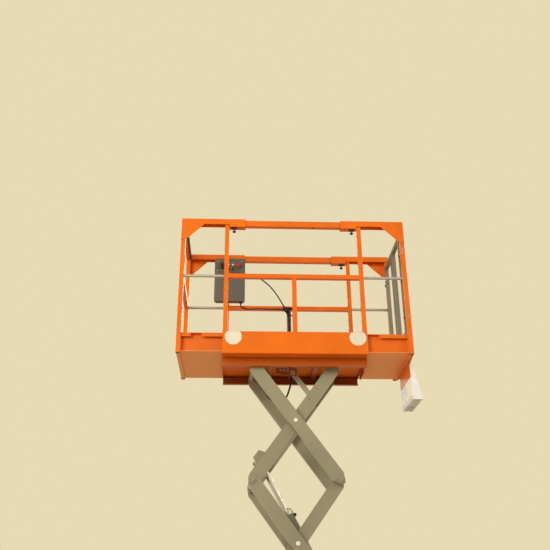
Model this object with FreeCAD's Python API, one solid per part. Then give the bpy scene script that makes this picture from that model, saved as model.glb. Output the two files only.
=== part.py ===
import FreeCAD, Part
import math
import os

os.makedirs("parts", exist_ok=True)
V = FreeCAD.Vector

# Sizes in millimetres. X runs along the machine to its entry gate, Y across it and away from the
# viewer, Z up from the ground. The lift is drawn raised, with both ends of the platform drawn out.

# Scissor
ARM_LEN = 1054.0           # pin to pin on every arm
ARM_ANGLE = 53.6           # slope of the arms as drawn, in degrees
ARM_H = 94.0               # section of the bars
ARM_T = 40.0
ARM_END = 34.0             # how far a bar runs on past its end pins
TAPER_IN = 26.0            # where its end taper starts, inside the pin
NOSE_H = 24.0              # height of the tapered end
INNER_FACE = 118.0         # inner face of the inner bars
ARM_GAP = 12.0             # between an inner bar and the outer bar beside it
PIN_R = 16.0
PIN_OVER = 6.0             # how far a pin stands out of the bar that it goes through
TUBE_R = 24.0              # cross tube at the middle pins
BRACE_R = 22.0             # other cross tubes
RUN = 0.3                  # running gap of pins, rods and shafts
BASE_LINE = 330.0          # axis of the lower rollers above the ground
ROLLER_DROP = 64.0         # platform floor down to the axis of the upper rollers

# Rollers and the channels that they run in
ROLLER_R = 20.0
AXLE_R = 14.0
ROLLER_GAP = 4.0           # outer bar to roller
ROLLER_W = 22.0
ROLLER_SIDE = 5.0          # roller to the web of the channel
ROLLER_PLAY = 1.0          # roller to each flange
GUIDE_WALL = 4.0
GUIDE_FLANGE = 30.0
GUIDE_OVER = 17.0          # channel beyond the arms folded flat

# Centring links
LINK_HALF = 19.0
LINK_T = 14.0
LINK_PIN_R = 11.0
CHEEK_T = 8.0
CHEEK_GAP = 2.0

# Lift cylinder
CYL_FOOT = 130.0           # its lower pin, along the outer arm from the arm's lower end
EYE_ALONG = 176.0          # its upper pin, along the inner arm from the arm's lower end
EYE_OFF = 64.0             # and square to the arm, on its upper side
BARREL_R = 36.0
BARREL_LEN = 640.0
ROD_R = 20.0
ROD_LEN = 655.0
EYE_HALF = 34.0
EYE_W = 52.0
EYE_NECK = 6.0             # eye block into the rod or barrel
BARREL_END = 24.0          # thickness of the barrel's closed end
EAR_T = 8.0
EAR_GAP = 10.0             # rod eye to the ends of its trunnion pins

# Platform
END_OUT = 342.0            # how far each end stands out past the fixed middle
TRAVEL = 295.0             # how far each end slides in
FLOOR_MEET = 35.0          # half the gap between the sliding floors when both ends are in
END_SET = 2.0              # fixed rails and floor short of the ends of the deck
SIDE_Y = 335.0             # outer face of posts and toe boards
POST = 34.0                # square tube of posts and rails
TUBE_WALL = 3.0
SHEET = 4.0
FLOOR_TOP = -13.0          # fixed floor, below the sliding ones
FLOOR_T = 6.0              # sliding floors, whose top is the working floor
SLIDE = 6.0                # gap between sliding pieces
LAP = 1.0                  # how far joined bodies reach into each other
TOE_TOP = 150.0
TOE_LIP = 30.0
RAIL_TOP = 1104.0
RAIL_H = 47.0
RAIL_OVER = 8.0            # top rail and corner plates outside the posts
RAIL_UNDER = 14.0          # top rail inside the posts
SLEEVE_IN = 37.0           # sleeve in from the end of the deck
SLEEVE_LEN = 127.0
SLEEVE_H = 67.0
SLIDE_TUBE_H = 49.0        # fixed top tube inside the sliding rails
TUBE_DROP = 7.0            # and how far its top is below theirs
SLIDE_GAP = 5.0
PAD_LEN = 40.0             # slide pads on the ends of that tube
LOCK_X = 159.0             # hole for the plunger of the right sleeve
LOCK_R = 9.0
MID_RAIL_Z = 610.0         # axis of the middle rails
SLIDE_ROD_R = 11.0         # thin rods that slide in the middle rails
GUSSET = 143.0
SLOTS = 6                  # slots along the underside of each edge
SLOT_W = 54.0
SLOT_BRIDGE = 14.0
SLOT_IN = 6.0              # slots off the middle of the pan, towards the channel
CROSS_X = 180.0            # cross members each side of the middle one
CROSS_W = 40.0
END_LIP = 18.0             # depth of the end members over the arms
ANCHOR_X = (-129.0, 28.0)  # anchor plate of the upper centring link
ANCHOR_Z = -92.0

# Entry end
HINGE_IN = 24.0            # gate hinge axis in from the post's outer end face
STILE_GAP = 12.0           # post to the hinge stile of a leaf
HINGE_Z = (291.0, 825.0)
HINGE_PIN_R = 6.0
HINGE_H = 20.0
LEAF = 30.0                # square tube of the gate leaves
LEAF_Z = (156.0, 1000.0)
LEAF_FREE = 8.0            # gap from the middle of the entry to a leaf
STEP_SET = 4.0             # back of the step in from the end of the platform
STEP_OUT = 72.0            # and its front beyond it
STEP_DROP = 316.0
STEP_HALF = 178.0
STEP_RIM = 38.0
STEP_HEAD = 16.0           # width of its sides at the top
SHOULDER = 48.0            # slope at the top of the plate that carries it
PLATE_DROP = 140.0

# Control box
BOX_OUT = 92.0             # past the middle of the platform
BOX_LEN = 260.0
BOX_Z = (640.0, 1040.0)
BOX_DEPTH = 48.0
BRACKET_IN = 60.0          # brackets in from its top and bottom
GLAND_R = 9.0
GLAND_IN = 34.0            # lower gland in from the side of the box
GLAND_DROP = 140.0         # side gland below the top of the box
GLAND_LEN = 12.0
CABLE_R = 5.5
CABLE_OFF = 1.5            # cables to the post that they run down
HOSE_R = 7.0
HOSE_Y = 60.0
HOSE_GLAND_R = 11.0
ARC_SHARE = 0.45           # of its shorter run that each bend of a cable takes up
LEAD_SIDES = 8             # sides of a cable's section

# Base
END_ROOM = 56.0            # chassis beyond the channels
HULL_Y = 330.0
TUB_Y = 183.0
TUB_SINK = 25.0            # floor of the tub below the axles
TUB_H = 180.0
SHELF_Z = 263.0
PLATE = 8.0
HULL_TOP = 355.0
FENDER_ROOM = 15.0         # tyre to the fender over it
LOCKER_ROOM = 58.0         # tyre to the locker beside it
LOCKER_Z = 98.0
BEVEL = 14.0
AXLE_IN = 160.0            # axles in from the ends of the chassis
WHEEL_R = 120.0
WHEEL_W = 72.0
WHEEL_Y = 290.0
RIM_R = 72.0
RIM_BACK = 4.0             # rim inside the tyre's inner face
RIM_FRONT = 10.0           # and inside its outer face
STUB_R = 14.0
HUB_IN = 26.0              # depth of the shaft in the wheel
KING_Y = 215.0
KING_R = 12.0
KNUCKLE = 40.0             # square block that carries the kingpin and the wheel shaft
KNUCKLE_H = 50.0
KING_PLAY = 2.0            # knuckle to the lug above it
LUG_H = 40.0               # kingpin lug on the chassis
STEER_ARM = 70.0
STEER_T = 12.0
STEER_PLAY = 1.0           # steering arm to the tie rod
JOINT_R = 7.0
MOTOR_R = 42.0
MOTOR_L = 58.0
COVER_IN = 26.0            # cover short of the ends of its locker
COVER_Z = (124.0, 340.0)
COVER_T = 6.0
LOUVRES = 5
EYE_LUG = 44.0             # tie-down lugs
EYE_BORE = 14.0
EYE_Z = 160.0
EYE_Y = 120.0

# Lines and planes that follow from them
SLOPE = math.radians(ARM_ANGLE)
ARM_SPAN = ARM_LEN * math.cos(SLOPE)
ARM_RISE = ARM_LEN * math.sin(SLOPE)
HALF = ARM_SPAN / 2.0
MID_LINE = BASE_LINE + ARM_RISE
TOP_LINE = MID_LINE + ARM_RISE
DECK_Z = TOP_LINE + ROLLER_DROP
INNER_Y = (INNER_FACE, INNER_FACE + ARM_T)
OUTER_Y = (INNER_Y[1] + ARM_GAP, INNER_Y[1] + ARM_GAP + ARM_T)
ROLLER_Y = (OUTER_Y[1] + ROLLER_GAP, OUTER_Y[1] + ROLLER_GAP + ROLLER_W)
WEB_Y = ROLLER_Y[1] + ROLLER_SIDE
GUIDE_Y = WEB_Y + GUIDE_WALL
GUIDE_HALF = ROLLER_R + ROLLER_PLAY
CEN_X = ARM_LEN / 2.0 + GUIDE_OVER
EXT_X = CEN_X + END_OUT
CHASSIS_X = CEN_X + END_ROOM
AXLE_X = CHASSIS_X - AXLE_IN
TUB_Z = (WHEEL_R - TUB_SINK, WHEEL_R - TUB_SINK + TUB_H)
INSIDE = SIDE_Y - SHEET
CHEEK_Y = LINK_T / 2.0 + CHEEK_GAP
POST_IN = SIDE_Y - POST
ROD_Y = SIDE_Y - POST / 2.0
MID_END = CEN_X - END_SET
RAIL_Y = (POST_IN - RAIL_UNDER, SIDE_Y + RAIL_OVER)
TUBE_Y = (RAIL_Y[0] + TUBE_WALL + SLIDE_GAP, RAIL_Y[1] - TUBE_WALL - SLIDE_GAP)
TUBE_TOP = RAIL_TOP - TUBE_DROP
POST_BOTTOM = FLOOR_TOP - SHEET
CROSS_H = ROLLER_DROP - LINK_HALF - SLIDE + POST_BOTTOM
HINGE_Y = POST_IN - STILE_GAP - LEAF / 2.0
BOX_X = (-CEN_X - BOX_OUT, -CEN_X - BOX_OUT + BOX_LEN)
BOX_Y = (RAIL_Y[0] - SLIDE - BOX_DEPTH, RAIL_Y[0] - SLIDE)
BOX_MID = (BOX_Y[0] + BOX_Y[1]) / 2.0
LOW_GLAND = BOX_X[1] - GLAND_IN
SIDE_GLAND = BOX_Z[1] - GLAND_DROP
FENDER_Z = 2.0 * WHEEL_R + FENDER_ROOM
LOCKER_X = AXLE_X - WHEEL_R - LOCKER_ROOM
COVER_X = LOCKER_X - COVER_IN
MIDDLE = STEP_OUT / 2.0    # the step makes one end longer, so the outline's middle is this far along


def box(x0, x1, y0, y1, z0, z1):
    """Block between two corners, given in any order."""
    size = (abs(x1 - x0), abs(y1 - y0), abs(z1 - z0))
    return Part.makeBox(size[0], size[1], size[2], V(min(x0, x1), min(y0, y1), min(z0, z1)))


def rod(p, q, r):
    """Round bar from point p to point q."""
    a, b = V(*p), V(*q)
    return Part.makeCylinder(r, (b - a).Length, a, b - a)


def pin(p, y0, y1, r):
    """Round bar across the machine, at the point p of the XZ plane."""
    return rod((p[0], y0, p[1]), (p[0], y1, p[1]), r)


def prism_y(points, y0, y1):
    """Outline of (x, z) points drawn out along Y."""
    face = Part.Face(Part.makePolygon([V(x, y0, z) for x, z in points + points[:1]]))
    return face.extrude(V(0, y1 - y0, 0))


def prism_x(points, x0, x1):
    """Outline of (y, z) points drawn out along X."""
    face = Part.Face(Part.makePolygon([V(x0, y, z) for y, z in points + points[:1]]))
    return face.extrude(V(x1 - x0, 0, 0))


def stadium(p, q, half, y0, y1):
    """Plate with round ends about the points p and q of the XZ plane."""
    n = math.hypot(q[0] - p[0], q[1] - p[1])
    ux, uz = (q[0] - p[0]) / n * half, (q[1] - p[1]) / n * half
    a, b = V(p[0] - uz, y0, p[1] + ux), V(q[0] - uz, y0, q[1] + ux)
    c, d = V(q[0] + uz, y0, q[1] - ux), V(p[0] + uz, y0, p[1] - ux)
    far, near = V(q[0] + ux, y0, q[1] + uz), V(p[0] - ux, y0, p[1] - uz)
    edges = [Part.LineSegment(a, b), Part.Arc(b, far, c), Part.LineSegment(c, d), Part.Arc(d, near, a)]
    return Part.Face(Part.Wire([e.toShape() for e in edges])).extrude(V(0, y1 - y0, 0))


def tube_x(x0, x1, y0, y1, z0, z1, wall=TUBE_WALL):
    """Rectangular tube along X, open at both ends."""
    inside = box(x0 - LAP, x1 + LAP, y0 + wall, y1 - wall, z0 + wall, z1 - wall)
    return box(x0, x1, y0, y1, z0, z1).cut(inside)


def join(shapes):
    body = shapes[0]
    if len(shapes) > 1:
        body = body.fuse(shapes[1:])
    return body.removeSplitter()


def mirror_y(shape):
    return shape.mirror(V(0, 0, 0), V(0, 1, 0))


def mirror_x(shape):
    return shape.mirror(V(0, 0, 0), V(1, 0, 0))


def both(shape):
    """The shape and its twin on the other side of the machine."""
    return [shape, mirror_y(shape)]


def save(name, shape, count=1):
    """Write a sub-part of so many solids, with the origin under the middle of the whole outline."""
    if len(shape.Solids) != count or not shape.isValid():
        print("CHECK", name, "solids", len(shape.Solids), "valid", shape.isValid())
    shape = shape.Solids[0] if len(shape.Solids) == 1 else Part.makeCompound(shape.Solids)
    shape.translate(V(-MIDDLE, 0, 0))
    shape.exportStep("parts/" + name + ".step")
    print(name, round(shape.Volume / 1e6, 3), "dm3")


def zf(z):
    """Height above the ground of a height above the platform floor."""
    return DECK_Z + z


# Scissor arms. A and B are the lower and upper ends of the inner arms, C and D those of the outer ones.

A1, B1 = (-HALF, BASE_LINE), (HALF, MID_LINE)
C1, D1 = (HALF, BASE_LINE), (-HALF, MID_LINE)
A2, B2 = (-HALF, MID_LINE), (HALF, TOP_LINE)
C2, D2 = (HALF, MID_LINE), (-HALF, TOP_LINE)
CROSS_1 = (0.0, (BASE_LINE + MID_LINE) / 2.0)
CROSS_2 = (0.0, (MID_LINE + TOP_LINE) / 2.0)
QUARTER_1 = (-HALF / 2.0, BASE_LINE + ARM_RISE / 4.0)
QUARTER_2 = (HALF / 2.0, TOP_LINE - ARM_RISE / 4.0)
UX, UZ = math.cos(SLOPE), math.sin(SLOPE)
FOOT = (C1[0] - CYL_FOOT * UX, C1[1] + CYL_FOOT * UZ)
EYE = (A2[0] + EYE_ALONG * UX - EYE_OFF * UZ, A2[1] + EYE_ALONG * UZ + EYE_OFF * UX)


def bar(p, q, y):
    """Bar of an arm from pin p to pin q, with both ends tapered past the pins."""
    ux, uz = (q[0] - p[0]) / ARM_LEN, (q[1] - p[1]) / ARM_LEN
    side = [(-ARM_END, NOSE_H / 2), (TAPER_IN, ARM_H / 2), (ARM_LEN - TAPER_IN, ARM_H / 2),
            (ARM_LEN + ARM_END, NOSE_H / 2)]
    outline = side + [(a, -b) for a, b in reversed(side)]
    return prism_y([(p[0] + a * ux - b * uz, p[1] + a * uz + b * ux) for a, b in outline], y[0], y[1])


def bored(shape, holes):
    """The shape with a hole across the machine at each (point, radius)."""
    for p, r in holes:
        shape = shape.cut(pin(p, -SIDE_Y, SIDE_Y, r))
    return shape


def inner_arms(low, high, cross, tube_at, quarter):
    bars = [bored(b, [(cross, PIN_R + RUN)]) for b in both(bar(low, high, INNER_Y))]
    tube = pin(tube_at, -INNER_Y[0], INNER_Y[0], TUBE_R)
    ends = both(pin(tube_at, INNER_Y[1], OUTER_Y[1] + PIN_OVER, PIN_R))
    brace = pin(quarter, -INNER_Y[0], INNER_Y[0], LINK_PIN_R)
    return bars + [tube, brace] + ends


def outer_arms(low, high, cross, hole_at, brace_at):
    bars = [bored(b, [(hole_at, PIN_R + RUN)]) for b in both(bar(low, high, OUTER_Y))]
    brace = pin(brace_at, -OUTER_Y[0], OUTER_Y[0], BRACE_R)
    return bars + [brace] + both(pin(cross, INNER_Y[0] - PIN_OVER, OUTER_Y[0], PIN_R))


def eye_bracket():
    """Ears inside the upper inner arms, with the trunnion pins of the cylinder's eye."""
    low, high = EYE_ALONG - 2 * EYE_HALF, EYE_ALONG + 2 * EYE_HALF
    top = EYE_OFF + EYE_HALF
    outline = [(low, 0.0), (EYE_ALONG - EYE_HALF, top), (EYE_ALONG + EYE_HALF, top), (high, 0.0)]
    points = [(A2[0] + a * UX - b * UZ, A2[1] + a * UZ + b * UX) for a, b in outline]
    ear = prism_y(points, INNER_Y[0] - EAR_T, INNER_Y[0])
    trunnion = pin(EYE, EYE_W / 2 + EAR_GAP, INNER_Y[0] - EAR_T, ROD_R)
    return both(ear) + both(trunnion)


save("inner_arms_1", join(inner_arms(A1, B1, CROSS_1, B1, QUARTER_1)))
save("outer_arms_1", join(outer_arms(C1, D1, CROSS_1, D1, FOOT)))
save("outer_arms_2", join(outer_arms(C2, D2, CROSS_2, C2, D2)))
save("inner_arms_2", join(inner_arms(A2, B2, CROSS_2, A2, QUARTER_2) + eye_bracket()))


def rollers(p, arm_face):
    """A pair of rollers at p, on stub shafts from the outer faces of the arms."""
    wheel = pin(p, ROLLER_Y[0], ROLLER_Y[1], ROLLER_R)
    shaft = pin(p, arm_face, ROLLER_Y[0], AXLE_R)
    return Part.makeCompound(both(join([wheel, shaft])))


for name, place, face in (("base_axle_inner", A1, INNER_Y[1]), ("base_axle_outer", C1, OUTER_Y[1]),
                          ("top_axle_outer", D2, OUTER_Y[1]), ("top_axle_inner", B2, INNER_Y[1])):
    save(name, rollers(place, face), 2)

for name, centre, quarter in (("base_link", (0.0, BASE_LINE), QUARTER_1),
                              ("top_link", (0.0, TOP_LINE), QUARTER_2)):
    plate = stadium(centre, quarter, LINK_HALF, -LINK_T / 2, LINK_T / 2)
    save(name, bored(plate, [(centre, LINK_PIN_R + RUN), (quarter, LINK_PIN_R + RUN)]))


def link_cheek(line, root, reach):
    """Far cheek that holds the pin of a centring link, standing out from the height root."""
    end = line + LINK_HALF * (1 if line > root else -1)
    outline = [(-reach, root), (-LINK_HALF, end), (LINK_HALF, end), (reach, root)]
    return prism_y(outline, CHEEK_Y, CHEEK_Y + CHEEK_T)


def link_pin(line):
    return pin((0.0, line), -CHEEK_Y - CHEEK_T, CHEEK_Y + CHEEK_T, LINK_PIN_R)


# Lift cylinder

SPAN = math.hypot(EYE[0] - FOOT[0], EYE[1] - FOOT[1])
CX, CZ = (EYE[0] - FOOT[0]) / SPAN, (EYE[1] - FOOT[1]) / SPAN


def on_axis(along, side=0.0):
    """Point of the XZ plane along the cylinder from its foot, and square to it."""
    return (FOOT[0] + CX * along - CZ * side, FOOT[1] + CZ * along + CX * side)


def on_line(along):
    x, z = on_axis(along)
    return (x, 0.0, z)


def eye_block(along, toward):
    """Bevelled block about a pin of the cylinder, with its neck towards the other end."""
    h, cut = EYE_HALF, EYE_HALF / 2
    neck = h + EYE_NECK
    outline = [(-h, -cut), (-h, cut), (-cut, h), (neck, h), (neck, -h), (-cut, -h)]
    return prism_y([on_axis(along + toward * a, b) for a, b in outline], -EYE_W / 2, EYE_W / 2)


barrel = join([eye_block(0.0, 1), rod(on_line(EYE_HALF), on_line(BARREL_LEN), BARREL_R)])
barrel = barrel.cut(rod(on_line(EYE_HALF + BARREL_END), on_line(BARREL_LEN + LAP), ROD_R + RUN))
save("cylinder_barrel", bored(barrel, [(FOOT, BRACE_R + RUN)]))
ram = join([rod(on_line(SPAN - ROD_LEN), on_line(SPAN - EYE_HALF), ROD_R), eye_block(SPAN, -1)])
save("cylinder_rod", bored(ram, [(EYE, ROD_R + RUN)]))

# Fixed middle of the platform


def edge_profile(side):
    """Rolled side of the deck: roller channel, web and the pan that carries the toe board."""
    axis = -ROLLER_DROP
    low, high = axis - GUIDE_HALF, axis + GUIDE_HALF
    tip = GUIDE_Y - GUIDE_FLANGE
    points = [(tip, low - SHEET), (GUIDE_Y, low - SHEET), (GUIDE_Y, POST_BOTTOM - SHEET),
              (SIDE_Y, POST_BOTTOM - SHEET), (SIDE_Y, POST_BOTTOM), (WEB_Y, POST_BOTTOM),
              (WEB_Y, high + SHEET), (tip, high + SHEET), (tip, high), (WEB_Y, high), (WEB_Y, low),
              (tip, low)]
    return [(side * y, zf(z)) for y, z in points]


def deck_frame():
    """Both rolled sides with their slots, cross and end members, and the anchor of the upper link."""
    parts = []
    pitch = 2 * CEN_X / SLOTS
    slot_y = (GUIDE_Y + SIDE_Y) / 2 - SLOT_IN
    slot_z = (zf(POST_BOTTOM - 2 * SHEET), zf(POST_BOTTOM + LAP))
    for side in (-1, 1):
        edge = prism_x(edge_profile(side), -CEN_X, CEN_X)
        for k in range(SLOTS):
            x0 = -CEN_X + k * pitch + SLOT_BRIDGE / 2
            y0, y1 = side * (slot_y - SLOT_W / 2), side * (slot_y + SLOT_W / 2)
            edge = edge.cut(box(x0, x0 + pitch - SLOT_BRIDGE, y0, y1, slot_z[0], slot_z[1]))
        parts.append(edge)
    under = zf(POST_BOTTOM - CROSS_H)
    for x in (-CROSS_X, 0.0, CROSS_X):
        parts.append(box(x - CROSS_W / 2, x + CROSS_W / 2, -WEB_Y - LAP, WEB_Y + LAP, zf(POST_BOTTOM), under))
    lip, deep, inner = POST_BOTTOM - END_LIP, -ROLLER_DROP - GUIDE_HALF - SHEET, INNER_FACE - EAR_T
    skirt = [(inner, lip), (inner - END_LIP, deep), (END_LIP - inner, deep), (-inner, lip)]
    for x, middle in ((-CEN_X, []), (CEN_X - SHEET, skirt)):
        member = [(-WEB_Y - LAP, POST_BOTTOM), (WEB_Y + LAP, POST_BOTTOM), (WEB_Y + LAP, lip)] + middle
        parts.append(prism_x([(y, zf(z)) for y, z in member + [(-WEB_Y - LAP, lip)]], x, x + SHEET))
    left, right = ANCHOR_X
    anchor = [(left, zf(POST_BOTTOM)), (right, zf(POST_BOTTOM)), (right, zf(ANCHOR_Z)),
              (left / 2, zf(ANCHOR_Z)), (left, zf(ANCHOR_Z + CROSS_H))]
    parts.append(prism_y(anchor, -CHEEK_Y - CHEEK_T, -CHEEK_Y))
    return parts + [link_cheek(TOP_LINE, under, CROSS_W / 2 + LINK_HALF), link_pin(TOP_LINE)]


CABLE_X = (-5.0, 9.0)
LEAD_Y = POST_IN - CABLE_R - CABLE_OFF
HOSE_X = (-8.0, -189.0)
HOSE_TOP = POST_BOTTOM - CROSS_H - GLAND_LEN

frame = deck_frame()
for x in HOSE_X:
    frame.append(rod((x, HOSE_Y, zf(HOSE_TOP)), (x, HOSE_Y, zf(HOSE_TOP + 2 * GLAND_LEN)), HOSE_GLAND_R))
save("deck_frame", join(frame))
floor = [box(-MID_END, MID_END, -INSIDE, INSIDE, zf(POST_BOTTOM), zf(FLOOR_TOP))]
for x in CABLE_X:
    floor.append(rod((x, LEAD_Y, zf(POST_BOTTOM)), (x, LEAD_Y, zf(FLOOR_TOP + GLAND_LEN)), GLAND_R))
save("deck_floor", join(floor))

toe_profile = [(SIDE_Y, POST_BOTTOM), (SIDE_Y, TOE_TOP), (POST_IN, TOE_TOP), (POST_IN, TOE_TOP - SHEET),
               (INSIDE, TOE_TOP - SHEET), (INSIDE, POST_BOTTOM)]
toe = prism_x([(y, zf(z)) for y, z in toe_profile], -CEN_X, CEN_X)
save("toe_board_rear", toe)
save("toe_board_front", mirror_y(toe))


def centre_rails():
    """Posts, top tube, middle rail and short middle post of one side, all hollow."""
    end = MID_END
    mid = (MID_RAIL_Z - POST / 2, MID_RAIL_Z + POST / 2)
    tube_z = (TUBE_TOP - SLIDE_TUBE_H, TUBE_TOP)
    w = TUBE_WALL
    solid, hollow = [], []
    for x in (-end, end - POST):
        solid.append(box(x, x + POST, POST_IN, SIDE_Y, zf(TOE_TOP), zf(tube_z[0] + LAP)))
        hollow.append(box(x + w, x + POST - w, POST_IN + w, SIDE_Y - w, zf(TOE_TOP + w), zf(tube_z[0] - w)))
    solid.append(box(-POST / 2, POST / 2, POST_IN, SIDE_Y, zf(TOE_TOP), zf(mid[0] + LAP)))
    solid.append(box(-end, end, TUBE_Y[0], TUBE_Y[1], zf(tube_z[0]), zf(tube_z[1])))
    hollow.append(box(-end - LAP, end + LAP, TUBE_Y[0] + w, TUBE_Y[1] - w, zf(tube_z[0] + w),
                      zf(tube_z[1] - w)))
    solid.append(box(-end, end, POST_IN, SIDE_Y, zf(mid[0]), zf(mid[1])))
    hollow.append(box(-end - LAP, end + LAP, POST_IN + w, SIDE_Y - w, zf(mid[0] + w), zf(mid[1] - w)))
    hollow.append(rod((LOCK_X, ROD_Y, zf(tube_z[0] - w)), (LOCK_X, ROD_Y, zf(tube_z[0] + 2 * w)), LOCK_R))
    rails = join(solid)
    for inside in hollow:
        rails = rails.cut(inside)
    pads = [box(x, x + PAD_LEN, TUBE_Y[0] + w, TUBE_Y[1] - w, zf(tube_z[1] - LAP), zf(RAIL_TOP - w - RUN))
            for x in (-end, end - PAD_LEN)]
    return join([rails] + pads)


save("centre_rails_rear", centre_rails())
save("centre_rails_front", mirror_y(centre_rails()))

# Sliding ends, both drawn as the left one. The right one is its twin, with gates in place of end rails.

FLOOR_IN = -(TRAVEL + FLOOR_MEET)
LIP_GAP = (-778.0, -700.0)
ENTRY_LIP_GAP = (-634.0, -520.0)
SLIDE_TOE = TOE_TOP - SLIDE - SHEET


def end_frame(gate):
    """Floor, folded toe boards that slide inside the fixed ones, and the board at the end."""
    outer = INSIDE - SLIDE
    web = outer - TOE_LIP
    t = SHEET
    profile = [(web, -FLOOR_T), (outer, -FLOOR_T), (outer, -FLOOR_T + t), (web + t, -FLOOR_T + t),
               (web + t, SLIDE_TOE - t), (outer - t, SLIDE_TOE - t), (outer - t, SLIDE_TOE - TOE_LIP),
               (outer, SLIDE_TOE - TOE_LIP), (outer, SLIDE_TOE), (web, SLIDE_TOE)]
    parts = []
    for side in (-1, 1):
        parts.append(prism_x([(side * y, zf(z)) for y, z in profile], -EXT_X + POST, FLOOR_IN))
    parts.append(box(-EXT_X + t, FLOOR_IN, -web - LAP, web + LAP, zf(-FLOOR_T), zf(0)))
    board_top = -FLOOR_T + LAP if gate else TOE_TOP - t
    board = box(-EXT_X + t, -EXT_X + POST - TUBE_WALL, -POST_IN, POST_IN, zf(POST_BOTTOM), zf(board_top))
    if not gate:
        pan_z = (zf(POST_BOTTOM + POST), zf(board_top - POST))
        board = board.cut(box(-EXT_X, -EXT_X + POST / 2, -web, web, pan_z[0], pan_z[1]))
    gap = ENTRY_LIP_GAP if gate else LIP_GAP
    lip_z = (zf(SLIDE_TOE - TOE_LIP - LAP), zf(SLIDE_TOE - t))
    return join(parts + [board]).cut(box(gap[0], gap[1], -outer - LAP, -outer + t + LAP, lip_z[0], lip_z[1]))


def end_rails(gate):
    """Posts, sliding top rails with their sleeves, corner plates and the rods of the middle rails."""
    w = TUBE_WALL
    x0 = -EXT_X
    sleeve_x = (-CEN_X + SLEEVE_IN, -CEN_X + SLEEVE_IN + SLEEVE_LEN)
    rail_low = RAIL_TOP - RAIL_H
    seat = rail_low + w + LAP
    parts = []
    for side in (-1, 1):
        post = box(x0, x0 + POST, side * POST_IN, side * SIDE_Y, zf(POST_BOTTOM), zf(seat))
        post = post.cut(box(x0 + w, x0 + POST - w, side * (POST_IN + w), side * (SIDE_Y - w),
                            zf(POST_BOTTOM - LAP), zf(rail_low)))
        channel = [(RAIL_Y[0], rail_low), (RAIL_Y[0], RAIL_TOP), (RAIL_Y[1], RAIL_TOP), (RAIL_Y[1], rail_low),
                   (RAIL_Y[1] - w, rail_low), (RAIL_Y[1] - w, RAIL_TOP - w), (RAIL_Y[0] + w, RAIL_TOP - w),
                   (RAIL_Y[0] + w, rail_low)]
        rail = prism_x([(side * y, zf(z)) for y, z in channel], x0, sleeve_x[0])
        cap = box(x0, x0 + POST, side * RAIL_Y[0], side * RAIL_Y[1], zf(rail_low), zf(RAIL_TOP))
        sleeve = tube_x(sleeve_x[0], sleeve_x[1], min(side * RAIL_Y[0], side * RAIL_Y[1]),
                        max(side * RAIL_Y[0], side * RAIL_Y[1]), zf(RAIL_TOP - SLEEVE_H), zf(RAIL_TOP))
        corner = [(x0 + POST - w, zf(seat)), (x0 + POST + GUSSET, zf(seat)),
                  (x0 + POST + GUSSET, zf(rail_low - w)), (x0 + POST, zf(rail_low - GUSSET)),
                  (x0 + POST - w, zf(rail_low - GUSSET))]
        plate = prism_y(corner, side * RAIL_Y[1], side * (RAIL_Y[1] - w))
        pad = box(x0, x0 + POST, side * (SIDE_Y - LAP), side * RAIL_Y[1], zf(rail_low - GUSSET), zf(seat))
        thin = rod((x0 + POST / 2, side * ROD_Y, zf(MID_RAIL_Z)), (FLOOR_IN, side * ROD_Y, zf(MID_RAIL_Z)),
                   SLIDE_ROD_R)
        parts += [post, rail, cap, sleeve, plate, pad, thin]
    if not gate:
        for z0, z1 in ((rail_low, RAIL_TOP), (MID_RAIL_Z - POST / 2, MID_RAIL_Z + POST / 2)):
            parts.append(box(x0, x0 + POST, -POST_IN, POST_IN, zf(z0), zf(z1)))
    return parts


def threshold():
    """Low beam that ties the feet of the entry posts together."""
    return box(-EXT_X, -EXT_X + SHEET - RUN, -POST_IN - LAP, POST_IN + LAP, zf(POST_BOTTOM), zf(0))


HINGE_X = EXT_X - HINGE_IN


def hinge_lugs():
    """Lugs on the entry posts for the gate hinges, on the left as the whole end is drawn."""
    lugs = []
    for z in HINGE_Z:
        for side in (-1, 1):
            lugs.append(box(-HINGE_X - LEAF / 2, -HINGE_X + LEAF / 2, side * (HINGE_Y - LEAF / 2),
                            side * (POST_IN + TUBE_WALL), zf(z - HINGE_H / 2), zf(z + HINGE_H / 2)))
    return lugs


def hinge_axis(x, side, z0, z1, r):
    return rod((x, side * HINGE_Y, zf(z0)), (x, side * HINGE_Y, zf(z1)), r)


save("ext_left_frame", end_frame(False))
save("ext_left_rails", join(end_rails(False)))
save("ext_right_frame", mirror_x(end_frame(True)))
entry = join(end_rails(True) + [threshold()] + hinge_lugs())
for side in (-1, 1):
    for z in HINGE_Z:
        entry = entry.cut(hinge_axis(-HINGE_X, side, z - HINGE_H, z + HINGE_H, HINGE_PIN_R + RUN))
save("ext_right_rails", mirror_x(entry))


def gate_leaf(side):
    """Square-tube leaf from its hinge stile to the middle of the entry."""
    h = LEAF / 2
    bottom, top = LEAF_Z
    leaf = box(HINGE_X - h, HINGE_X + h, side * LEAF_FREE, side * (HINGE_Y + h), zf(bottom), zf(top))
    leaf = leaf.cut(box(HINGE_X - LEAF, HINGE_X + LEAF, side * (LEAF_FREE + LEAF), side * (HINGE_Y - h),
                        zf(bottom + LEAF), zf(top - LEAF)))
    for z in HINGE_Z:
        room = HINGE_H / 2 + SLIDE
        leaf = leaf.cut(box(HINGE_X - LEAF, HINGE_X + LEAF, side * (HINGE_Y - LEAF), side * (HINGE_Y + LEAF),
                            zf(z - room), zf(z + room)))
    pins = [hinge_axis(HINGE_X, side, z - HINGE_H, z + HINGE_H + SLIDE, HINGE_PIN_R) for z in HINGE_Z]
    return join([leaf] + pins)


save("gate_front", gate_leaf(-1))
save("gate_rear", gate_leaf(1))

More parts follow.
